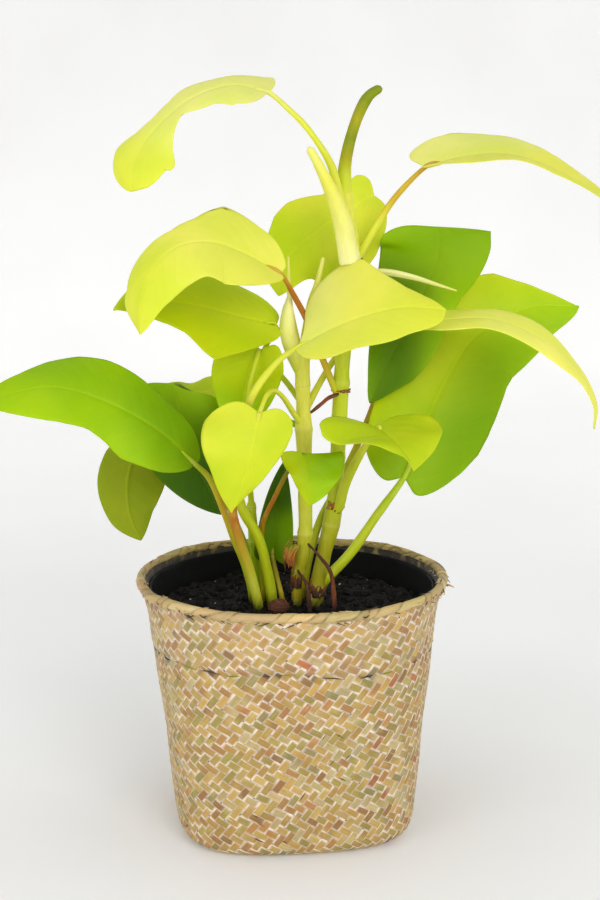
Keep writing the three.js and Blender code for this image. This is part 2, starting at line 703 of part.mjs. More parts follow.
// Rolled edge wound with a flat strip: each wrap swells between two joints that slant round the roll
function basketRim() {
  const along = RIM_WRAPS * 2;
  const points = [];
  const triangles = [];
  for (let step = 0; step < along; step += 1) {
    const angle = (step / along) * 2 * Math.PI;
    for (let side = 0; side < RIM_SIDES; side += 1) {
      const round = (side / RIM_SIDES) * 2 * Math.PI;
      const swell = RIM_ROLL + RIM_SWELL * Math.cos(RIM_WRAPS * angle + round);
      const reach = RIM_RADIUS + swell * Math.cos(round);
      const height = RIM_HEIGHT + swell * Math.sin(round);
      points.push([reach * Math.cos(angle), reach * Math.sin(angle), height]);
      const [next, up] = [(step + 1) % along, (side + 1) % RIM_SIDES];
      const [a, b] = [step * RIM_SIDES + side, next * RIM_SIDES + side];
      const [c, d] = [step * RIM_SIDES + up, next * RIM_SIDES + up];
      triangles.push([a, b, d], [a, d, c]);
    }
  }
  return { name: 'basket_rim', solid: toSolid(indexedGeometry(points, triangles)), color: RIM_STRAW };
}

// Thin plastic pot, turned from its profile, with a ring of drain holes through its floor
function nurseryPot() {
  const outline = (radius, height) => new THREE.Vector2(radius, height + POT_FOOT);
  const outside = POT_OUTSIDE.map(([radius, height]) => outline(radius, height));
  const [cornerRadius] = POT_OUTSIDE[2];
  const [lipRadius, lipHeight] = POT_OUTSIDE.at(-1);
  const inside = [
    outline(lipRadius - POT_WALL, lipHeight + POT_LIP_ROUND),
    ...POT_OUTSIDE.slice(3, -1).reverse().map(([radius, height]) => outline(radius - POT_WALL, height)),
    outline(cornerRadius - POT_WALL, POT_FLOOR + POT_INNER_CORNER),
    outline(cornerRadius - POT_WALL - POT_INNER_CORNER, POT_FLOOR),
    outline(0, POT_FLOOR),
  ];
  const shell = new THREE.LatheGeometry([...outside, ...inside], POT_SIDES);
  shell.rotateX(Math.PI / 2);
  let solid = toSolid(shell);
  for (let hole = 0; hole < DRAIN_COUNT; hole += 1) {
    const angle = ((hole + 0.5) / DRAIN_COUNT) * 2 * Math.PI;
    const drain = new THREE.CylinderGeometry(DRAIN_RADIUS, DRAIN_RADIUS, 4 * POT_FLOOR, DRAIN_SIDES);
    drain.rotateX(Math.PI / 2);
    drain.translate(DRAIN_RING * Math.cos(angle), DRAIN_RING * Math.sin(angle), POT_FOOT);
    solid = solid.subtract(toSolid(drain));
  }
  return { name: 'nursery_pot', solid, color: POT_BLACK };
}

// Crumbly top of the soil: low hills from a few crossing waves
function soilHeight(x, y) {
  const hills = Math.sin(0.11 * x + 0.7) * Math.cos(0.09 * y - 0.4) + 0.6 * Math.sin(0.23 * (x - y));
  return SOIL_LEVEL + SOIL_HILLS * hills;
}

// Body of soil that fills the pot, narrower at its foot as the pot is
function soilBase() {
  const foot = POT_FOOT + POT_FLOOR + CLEARANCE;
  const ring = (radius, height) => Array.from({ length: SOIL_SIDES }, (_, side) => {
    const angle = (side / SOIL_SIDES) * 2 * Math.PI;
    const [x, y] = [radius * Math.cos(angle), radius * Math.sin(angle)];
    return [x, y, height ?? soilHeight(x, y)];
  });
  const lower = [ring(59, foot), ring(61, foot + 2), ring(SOIL_RADIUS - 1, SOIL_LEVEL - 5)];
  const upper = [SOIL_RADIUS, 64, 46, 28, 12].map((radius) => ring(radius));
  return toSolid(ringSolid([...lower, ...upper]));
}

// The soil, with a hole for every stem, stalk and root that goes down into it
function soilPiece() {
  let solid = soilBase();
  for (const name of Object.keys(STEMS)) solid = solid.subtract(stemSolid(name, CLEARANCE));
  for (const leaf of Object.values(LEAVES)) {
    if (!leaf.holder) solid = solid.subtract(leafStalk(leaf, CLEARANCE));
  }
  for (const spear of Object.values(SPEARS)) {
    if (spear.rooted) solid = solid.subtract(spearSolid(spear, CLEARANCE));
  }
  solid = solid.subtract(barkSolid(CLEARANCE));
  return { name: 'soil', solid: largestBody(solid), color: SOIL_BLACK };
}

// Lump of reddish bark at the foot of the plant, bedded a little in the soil
const BARK_RADIUS = 6;
const BARK_STRETCH = [1.15, 0.9, 0.75];
const BARK_PLACE = [-8, -14, SOIL_LEVEL + 3.5];

function barkSolid(grow = 0) {
  const lump = new THREE.IcosahedronGeometry(BARK_RADIUS + grow, 1);
  lump.scale(...BARK_STRETCH);
  lump.rotateZ(0.5);
  lump.translate(...BARK_PLACE);
  return toSolid(lump);
}

const pieces = [
  basketBody(),
  basketRim(),
  nurseryPot(),
  soilPiece(),
  { name: 'bark_piece', solid: barkSolid(), color: BARK_RED },
  ...Object.keys(STEMS).map(stemPiece),
  ...Object.keys(LEAVES).map(leafPiece),
  ...Object.keys(SPEARS).map(spearPiece),
];

const pottedPlant = new THREE.Group();
for (const { name, solid, color } of pieces) {
  const mesh = new THREE.Mesh(toGeometry(solid), meshMaterial(color));
  mesh.name = name;
  pottedPlant.add(mesh);
}

export default pottedPlant;
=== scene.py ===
"""Looks of the potted malay gold philodendron: leaves, stems, soil, nursery pot and woven basket.

Lengths in the tables are millimetres, as in the part's source, and meshes are made in metres.
"""

import math

import bpy
import numpy as np
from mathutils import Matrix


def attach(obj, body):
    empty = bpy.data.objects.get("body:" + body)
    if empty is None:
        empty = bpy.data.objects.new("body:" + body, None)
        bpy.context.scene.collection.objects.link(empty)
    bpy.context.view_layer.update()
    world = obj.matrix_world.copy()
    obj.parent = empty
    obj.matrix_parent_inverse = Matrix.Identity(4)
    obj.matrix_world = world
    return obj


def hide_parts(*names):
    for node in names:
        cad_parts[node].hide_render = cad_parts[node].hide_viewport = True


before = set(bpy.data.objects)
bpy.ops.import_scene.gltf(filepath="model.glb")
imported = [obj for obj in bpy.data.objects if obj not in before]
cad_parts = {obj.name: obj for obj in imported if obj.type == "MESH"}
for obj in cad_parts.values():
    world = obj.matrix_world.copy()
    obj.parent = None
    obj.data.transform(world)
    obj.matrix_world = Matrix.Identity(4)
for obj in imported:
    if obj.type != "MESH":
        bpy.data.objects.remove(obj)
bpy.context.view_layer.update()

MM = 0.001
rng = np.random.default_rng(20)

# Colours, as sRGB bytes
TONES = {
    "cream": (240, 238, 170), "wax": (236, 232, 98), "butter": (250, 244, 112), "pale": (233, 231, 128),
    "lemon": (228, 225, 88), "lime": (219, 223, 66), "chartreuse": (198, 211, 40),
    "yellow_green": (187, 199, 16), "spring": (160, 195, 18), "green": (141, 177, 10),
    "grass": (122, 160, 6), "moss": (129, 143, 12), "deep": (88, 124, 4), "dark": (64, 102, 2),
    "gold": (206, 172, 44), "rust": (184, 112, 34), "olive": (164, 160, 18), "brown": (96, 54, 26),
    "straw": (220, 196, 140), "soot": (34, 26, 20), "wine": (160, 84, 40),
}


def linear(color):
    """Linear light of an sRGB colour in bytes."""
    c = np.asarray(color, float) / 255
    return np.where(c <= 0.04045, c / 12.92, ((c + 0.055) / 1.055) ** 2.4)


def tone(name):
    return linear(TONES[name])


def interp_rows(place, at, rows):
    """Rows of three values that stand at the places at, interpolated."""
    return np.stack([np.interp(place, at, rows[:, k]) for k in range(3)], axis=-1)


def tone_ramp(names, place):
    """Colours at places from 0 to 1 along an evenly spaced row of tones."""
    return interp_rows(place, np.linspace(0, 1, len(names)), np.array([tone(name) for name in names]))


def with_alpha(colors):
    colors = np.asarray(colors, float).reshape(-1, 3)
    return np.hstack([colors, np.ones((len(colors), 1))])


# Curves, meshes and tubes


def curve_points(points, u):
    """The curve that the part's source uses: Catmull-Rom, tension a half, ends carried on."""
    p = np.asarray(points, float)
    n = len(p)
    held = np.vstack([2 * p[0] - p[1], p, 2 * p[-1] - p[-2]])
    place = np.clip(u, 0, 1) * (n - 1)
    index = np.minimum(place.astype(int), n - 2)
    w = (place - index)[:, None]
    p0, p1, p2, p3 = (held[index + k] for k in range(4))
    t1, t2 = 0.5 * (p2 - p0), 0.5 * (p3 - p1)
    return p1 + t1 * w + (3 * (p2 - p1) - 2 * t1 - t2) * w**2 + (2 * (p1 - p2) + t1 + t2) * w**3


def unit(v):
    return v / np.linalg.norm(v, axis=-1, keepdims=True)


def sample_curve(points, steps):
    """Evenly spaced points of the curve, their directions and the curve's length."""
    u = np.linspace(0, 1, 201)
    dense = curve_points(points, u)
    run = np.concatenate([[0], np.cumsum(np.linalg.norm(np.diff(dense, axis=0), axis=1))])
    at = np.interp(np.linspace(0, run[-1], steps + 1), run, u)
    ahead = curve_points(points, np.minimum(at + 1e-3, 1))
    behind = curve_points(points, np.maximum(at - 1e-3, 0))
    return curve_points(points, at), unit(ahead - behind), run[-1]


def along_values(values, t):
    return np.interp(t, np.linspace(0, 1, len(values)), values)


ATTRIBUTE_KINDS = {1: ("FLOAT", "value"), 3: ("FLOAT_VECTOR", "vector"), 4: ("FLOAT_COLOR", "color")}


class Mesh:
    """Points in millimetres, faces and per-point values, gathered from several closed forms."""

    def __init__(self):
        self.points, self.faces, self.slots, self.values, self.count = [], [], [], {}, 0

    def add(self, points, faces, slot=0, **values):
        points = np.asarray(points, float).reshape(-1, 3)
        for name, value in values.items():
            value = np.asarray(value, float)
            width = value.shape[-1] if value.ndim > 1 else 1
            known = self.values.setdefault(name, (width, []))[1]
            known.append((self.count, value.reshape(len(points), width)))
        self.points.append(points)
        self.faces.extend([[i + self.count for i in face] for face in faces])
        self.slots.extend([slot] * len(faces))
        self.count += len(points)

    def make(self, name, materials, node, slot, smooth=True):
        """Piece that rides on the part and stands for one of its nodes."""
        mesh = bpy.data.meshes.new(name)
        points = np.concatenate(self.points) * MM
        mesh.from_pydata(points.tolist(), [], self.faces)
        for key, (width, parts) in self.values.items():
            kind, field = ATTRIBUTE_KINDS[width]
            whole = np.zeros((len(points), width), np.float32)
            for start, value in parts:
                whole[start : start + len(value)] = value
            mesh.attributes.new(key, kind, "POINT").data.foreach_set(field, whole.ravel())
        for material in materials:
            mesh.materials.append(material)
        mesh.polygons.foreach_set("material_index", self.slots)
        mesh.polygons.foreach_set("use_smooth", [smooth] * len(mesh.polygons))
        mesh.update()
        piece = bpy.data.objects.new(name, mesh)
        bpy.context.scene.collection.objects.link(piece)
        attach(piece, "root")
        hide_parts(node)


def ring(angle, radius, height):
    level = np.full(len(angle), float(height))
    return np.stack([radius * np.cos(angle), radius * np.sin(angle), level], axis=1)


def ring_faces(rows, sides):
    """Faces of a tube's side, for rings that turn anticlockwise seen from its far end."""
    faces = []
    for a in range(0, rows * sides, sides):
        for side in range(sides):
            b = a + (side + 1) % sides
            faces.append([a + side, b, b + sides, a + side + sides])
    return faces


def closed_rings(rings, start, end):
    """Points and faces of a closed form: a row of rings, and the points that close its two ends."""
    sides = len(rings[0])
    points = np.concatenate([*rings, [start], [end]])
    faces = ring_faces(len(rings) - 1, sides)
    first, last, top = len(points) - 2, len(points) - 1, (len(rings) - 1) * sides
    for side in range(sides):
        after = (side + 1) % sides
        faces.append([first, after, side])
        faces.append([last, top + side, top + after])
    return points, faces


def close_grid(above, below):
    """Points and faces of a closed sheet between two grids of points."""
    count = above.shape[0] * above.shape[1]
    index = np.arange(count).reshape(above.shape[:2])
    a, b, c, d = index[:-1, :-1], index[:-1, 1:], index[1:, :-1], index[1:, 1:]
    faces = np.stack([a, b, d, c], axis=-1).reshape(-1, 4).tolist()
    faces += (np.stack([a, c, d, b], axis=-1).reshape(-1, 4) + count).tolist()
    edge = [*index[0, :-1], *index[:-1, -1], *index[-1, :0:-1], *index[:0:-1, 0]]
    for place, p in enumerate(edge):
        q = edge[(place + 1) % len(edge)]
        faces.append([int(p), int(p) + count, int(q) + count, int(q)])
    return np.concatenate([above.reshape(-1, 3), below.reshape(-1, 3)]), faces


def grid_normals(grid):
    return unit(-np.cross(np.gradient(grid, axis=0), np.gradient(grid, axis=1)))


# Below DIRT_TOP the stalks and stems get soiled, over DIRT_REACH and within DIRT_RADIUS of the middle
DIRT_TOP = 143
DIRT_REACH = 10
DIRT_RADIUS = 60


def tube(mesh, points, radii, steps, sides, tones, slot=0, groove=0.0, knots=(), seed=0, rough=0.03,
         blunt=(0.96, 0.96), seam=0.0):
    """Closed round stalk with rounded ends. knots are places along it that swell, with their reach
    in millimetres and height; groove is the depth of a channel on its upper side; seam the height
    of the free edge of a rolled leaf; blunt how far the two ends close."""
    centre, along, length = sample_curve(points, steps)
    t = np.linspace(0, 1, steps + 1)
    radius = along_values(radii, t)
    phase = np.random.default_rng(seed).random(4) * 6.28
    run = length * t
    radius = radius * (1 + rough * np.sin(run / 9 + phase[0]) + rough * 0.6 * np.sin(run / 3.7 + phase[1]))
    ring_mark = np.zeros_like(t)
    for place, reach, height in knots:
        away = (t - place) * length
        radius = radius + height * np.exp(-((away / reach) ** 2))
        ring_mark = np.maximum(ring_mark, np.exp(-((away / (0.45 * reach)) ** 2)))
    for way, close in ((t, blunt[0]), (1 - t, blunt[1])):
        caps = way * length / np.maximum(radius, 0.1)
        radius = radius * np.sqrt(1 - np.clip(1 - caps, 0, close) ** 2)
    across = np.array([1.0, 0, 0])
    up = np.array([0, -0.3, 1.0])
    angle = np.linspace(0, 2 * np.pi, sides, endpoint=False)
    rings, lay = [], []
    for row in range(steps + 1):
        across = across - across.dot(along[row]) * along[row]
        across = across / np.linalg.norm(across)
        dip = np.outer(np.cos(angle), across) + np.outer(np.sin(angle), np.cross(along[row], across))
        facing = np.clip(dip @ unit(up - up.dot(along[row]) * along[row]), 0, 1) ** 6
        r = radius[row] * (1 - groove * facing)
        if seam:
            r = r * (1 + seam * (((angle + 2.2 + 1.1 * t[row]) / (2 * np.pi)) % 1 - 0.5))
        rings.append(centre[row] + dip * r[:, None])
        lay.append(ring(angle, 3, t[row] * length / 9))
    points, faces = closed_rings(rings, centre[0], centre[-1])

    def each(values):
        return np.concatenate([np.repeat(values, sides, axis=0), values[:1], values[-1:]])

    x, y, z = points.T
    soiled = np.clip((DIRT_TOP + 1.2 * np.sin(4 * x + 2 * y) - z) / DIRT_REACH, 0, 1)
    soiled = soiled * (np.hypot(x, y) < DIRT_RADIUS)
    tint = each(tone_ramp(tones, t))
    tint = tint + soiled[:, None] * (0.5 * tone("soot") - tint)
    lay = np.concatenate([*lay, [[0, 0, 0]], [[0, 0, length / 9]]])
    mesh.add(points, faces, slot, tone=with_alpha(tint), ring=each(ring_mark), lay=lay)
    return centre, radius


# Materials


class Nodes:
    """Short hand for building a node tree."""

    def __init__(self, name):
        self.material = bpy.data.materials.new(name)
        self.material.use_nodes = True
        self.tree = self.material.node_tree
        self.shader = self.tree.nodes["Principled BSDF"]
        self.place = self.node("ShaderNodeTexCoord").outputs["Object"]

    def node(self, kind, inputs=None, **settings):
        made = self.tree.nodes.new(kind)
        for key, value in settings.items():
            setattr(made, key, value)
        for key, value in (inputs or {}).items():
            self.put(made.inputs[key], value)
        return made

    def put(self, socket, value):
        if isinstance(value, bpy.types.NodeSocket):
            self.tree.links.new(value, socket)
        else:
            socket.default_value = value

    def math(self, operation, a, b=0.0, c=0.0, clamp=False):
        made = self.node("ShaderNodeMath", {0: a, 1: b, 2: c}, operation=operation, use_clamp=clamp)
        return made.outputs[0]

    def plus(self, a, b, clamp=False):
        return self.math("ADD", a, b, clamp=clamp)

    def times(self, a, b):
        return self.math("MULTIPLY", a, b)

    def attribute(self, name, output="Fac"):
        return self.node("ShaderNodeAttribute", attribute_name=name).outputs[output]

    def noise(self, vector, scale, detail=3.0, rough=0.55):
        inputs = {"Vector": vector, "Scale": scale, "Detail": detail, "Roughness": rough}
        return self.node("ShaderNodeTexNoise", inputs).outputs["Fac"]

    def cells(self, scale):
        return self.node("ShaderNodeTexVoronoi", {"Vector": self.place, "Scale": scale}).outputs["Distance"]

    def smooth(self, value, low, high, to_low=0.0, to_high=1.0):
        inputs = {0: value, 1: low, 2: high, 3: to_low, 4: to_high}
        return self.node("ShaderNodeMapRange", inputs, interpolation_type="SMOOTHSTEP").outputs[0]

    def mix(self, factor, a, b, blend="MIX"):
        made = self.node("ShaderNodeMix", data_type="RGBA", blend_type=blend)
        for socket, value in ((0, factor), (6, a), (7, b)):
            if isinstance(value, tuple):
                value = (*value, 1.0)
            self.put(made.inputs[socket], value)
        return made.outputs[2]

    def bump(self, height, strength, distance):
        inputs = {"Height": height, "Strength": strength, "Distance": distance}
        return self.node("ShaderNodeBump", inputs).outputs[0]

    def finish(self, color, roughness, normal, **constants):
        for key, value in {"Base Color": color, "Roughness": roughness, "Normal": normal}.items():
            self.put(self.shader.inputs[key], value)
        for key, value in constants.items():
            self.shader.inputs[key.replace("_", " ")].default_value = value
        return self.material


def leaf_material(name, vein_gain, rib_gain, rough):
    n = Nodes(name)
    patch = n.noise(n.place, 22.0, 2.0)
    fine = n.noise(n.place, 130.0, 4.0)
    greener = n.smooth(patch, 0.35, 0.65, 0.0, 0.4)
    color = n.mix(greener, n.attribute("tone", "Color"), (0.66, 0.86, 0.30), "MULTIPLY")
    color = n.mix(n.smooth(fine, 0.3, 0.75, 0.0, 0.10), color, (0.80, 0.88, 0.5), "MULTIPLY")
    bent = n.plus(n.attribute("phase"), n.times(n.math("SUBTRACT", patch, 0.5), 0.25))
    main = n.smooth(n.math("PINGPONG", bent, 0.5), 0.0, 0.085, 1.0, 0.0)
    side = n.times(n.plus(bent, n.times(fine, 0.05)), 5.0)
    thin = n.smooth(n.math("PINGPONG", side, 0.5), 0.0, 0.30, 1.0, 0.0)
    rib = n.smooth(n.attribute("ribline"), 0.6, 1.15, 1.0, 0.0)
    veins = n.plus(n.times(main, 0.8), n.times(thin, 0.3), clamp=True)
    light = n.mix(1.0, color, (0.26, 0.23, 0.0), "ADD")
    color = n.mix(n.times(veins, vein_gain), color, light)
    color = n.mix(n.times(rib, rib_gain), color, light)
    under = n.attribute("under")
    color = n.mix(n.times(under, 0.10), color, (0.60, 0.66, 0.05))
    relief = n.math("SUBTRACT", n.times(fine, 0.25), n.times(veins, 0.22))
    height = n.plus(relief, n.times(n.cells(1400.0), 0.10))
    roughness = n.plus(n.times(under, 0.12), n.smooth(fine, 0.2, 0.8, rough - 0.05, rough + 0.07))
    return n.finish(color, roughness, n.bump(height, 0.45, 0.0003), Subsurface_Weight=0.35,
                    Subsurface_Radius=(1.0, 1.0, 0.12), Subsurface_Scale=0.0016, Specular_IOR_Level=0.09)


def stalk_material(name, rough=0.42, streak=0.25, subsurface=0.15):
    n = Nodes(name)
    mark = n.attribute("ring")
    streaks = n.noise(n.attribute("lay", "Vector"), 1.5)
    blotch = n.noise(n.place, 90.0)
    streaked = n.smooth(streaks, 0.35, 0.7, 0.0, streak)
    color = n.mix(streaked, n.attribute("tone", "Color"), (0.70, 0.66, 0.30), "MULTIPLY")
    color = n.mix(n.smooth(blotch, 0.5, 0.8, 0.0, 0.3), color, (0.66, 0.68, 0.12))
    color = n.mix(n.times(mark, 0.28), color, (0.68, 0.66, 0.20))
    line = n.times(n.smooth(mark, 0.9, 0.97), n.smooth(streaks, 0.42, 0.62, 0.15, 0.85))
    color = n.mix(line, color, (0.16, 0.10, 0.02))
    relief = n.plus(n.times(streaks, 0.6), n.times(blotch, 0.4))
    roughness = n.smooth(blotch, 0.3, 0.7, rough - 0.06, rough + 0.1)
    return n.finish(color, roughness, n.bump(relief, 0.5, 0.0004), Subsurface_Weight=subsurface,
                    Subsurface_Radius=(1.0, 1.0, 0.15), Subsurface_Scale=0.001, Specular_IOR_Level=0.22)


def dry_material(name, rough=0.75):
    n = Nodes(name)
    streaks = n.noise(n.attribute("lay", "Vector"), 1.8, 4.0)
    blotch = n.noise(n.place, 300.0, 4.0)
    dark = n.smooth(streaks, 0.4, 0.65, 0.0, 0.8)
    color = n.mix(dark, n.attribute("tone", "Color"), (0.35, 0.25, 0.18), "MULTIPLY")
    color = n.mix(n.smooth(blotch, 0.55, 0.8, 0.0, 0.5), color, (0.42, 0.26, 0.13))
    return n.finish(color, rough, n.bump(n.plus(streaks, n.times(blotch, 0.7)), 0.9, 0.0006))


def straw_material():
    n = Nodes("straw")
    fibre = n.noise(n.attribute("lay", "Vector"), 1.0, 4.0, 0.6)
    speck = n.noise(n.place, 800.0, 2.0)
    blot = n.noise(n.place, 120.0)
    streaked = n.smooth(fibre, 0.35, 0.7, 0.0, 0.4)
    color = n.mix(streaked, n.attribute("tone", "Color"), (0.66, 0.52, 0.32), "MULTIPLY")
    color = n.mix(n.smooth(blot, 0.5, 0.75, 0.0, 0.35), color, (0.66, 0.50, 0.17))
    wash = n.times(n.attribute("pale"), n.smooth(blot, 0.3, 0.6, 0.6, 0.95))
    color = n.mix(wash, color, tuple(linear((247, 234, 218)).tolist()))
    color = n.mix(n.smooth(speck, 0.72, 0.80, 0.0, 0.8), color, (0.09, 0.06, 0.03))
    relief = n.plus(n.times(fibre, 0.8), n.times(speck, 0.2))
    return n.finish(color, n.smooth(fibre, 0.3, 0.7, 0.5, 0.68), n.bump(relief, 0.6, 0.0004))


def soil_material():
    n = Nodes("soil")
    lumps = n.noise(n.place, 260.0, 6.0, 0.7)
    cells = n.cells(420.0)
    color = n.mix(n.smooth(lumps, 0.35, 0.7), (0.0022, 0.0018, 0.0018), (0.012, 0.008, 0.006))
    color = n.mix(n.smooth(cells, 0.0, 0.25, 0.35, 0.0), color, (0.032, 0.013, 0.008))
    normal = n.bump(n.plus(lumps, n.times(cells, 0.5)), 1.0, 0.0015)
    return n.finish(color, n.smooth(lumps, 0.3, 0.7, 0.65, 0.92), normal, Specular_IOR_Level=0.25)


def plastic_material():
    n = Nodes("plastic")
    dust = n.noise(n.place, 60.0, 5.0, 0.65)
    color = n.mix(n.smooth(dust, 0.5, 0.8, 0.0, 0.6), (0.0015, 0.0015, 0.0018), (0.007, 0.0065, 0.006))
    normal = n.bump(n.noise(n.place, 1500.0, 2.0), 0.2, 0.0002)
    return n.finish(color, n.smooth(dust, 0.35, 0.75, 0.5, 0.72), normal, Specular_IOR_Level=0.14)


def speck_material():
    n = Nodes("speck")
    lumps = n.noise(n.place, 900.0, 4.0)
    color = n.mix(n.smooth(lumps, 0.3, 0.7), (0.45, 0.42, 0.36), (0.85, 0.83, 0.78))
    return n.finish(color, 0.85, n.bump(lumps, 0.8, 0.0004))


# How strongly a leaf's side veins and rib show, and its roughness
LEAF_FINISHES = {
    "leaf_pale": (0.05, 0.06, 0.46),
    "leaf_lime": (0.05, 0.14, 0.44),
    "leaf_yellow_green": (0.07, 0.15, 0.46),
    "leaf_green": (0.06, 0.15, 0.42),
    "leaf_dark": (0.04, 0.05, 0.42),
}
LEAF = {name: leaf_material(name, *finish) for name, finish in LEAF_FINISHES.items()}
STALK = stalk_material("stalk")
STEM = stalk_material("stem", 0.45, 0.3)
SHEATH = stalk_material("sheath", 0.4, 0.1, 0.3)
ROOT = dry_material("root")
BARK = dry_material("bark", 0.8)
STRAW = straw_material()
SOIL = soil_material()
PLASTIC = plastic_material()
SPECK = speck_material()

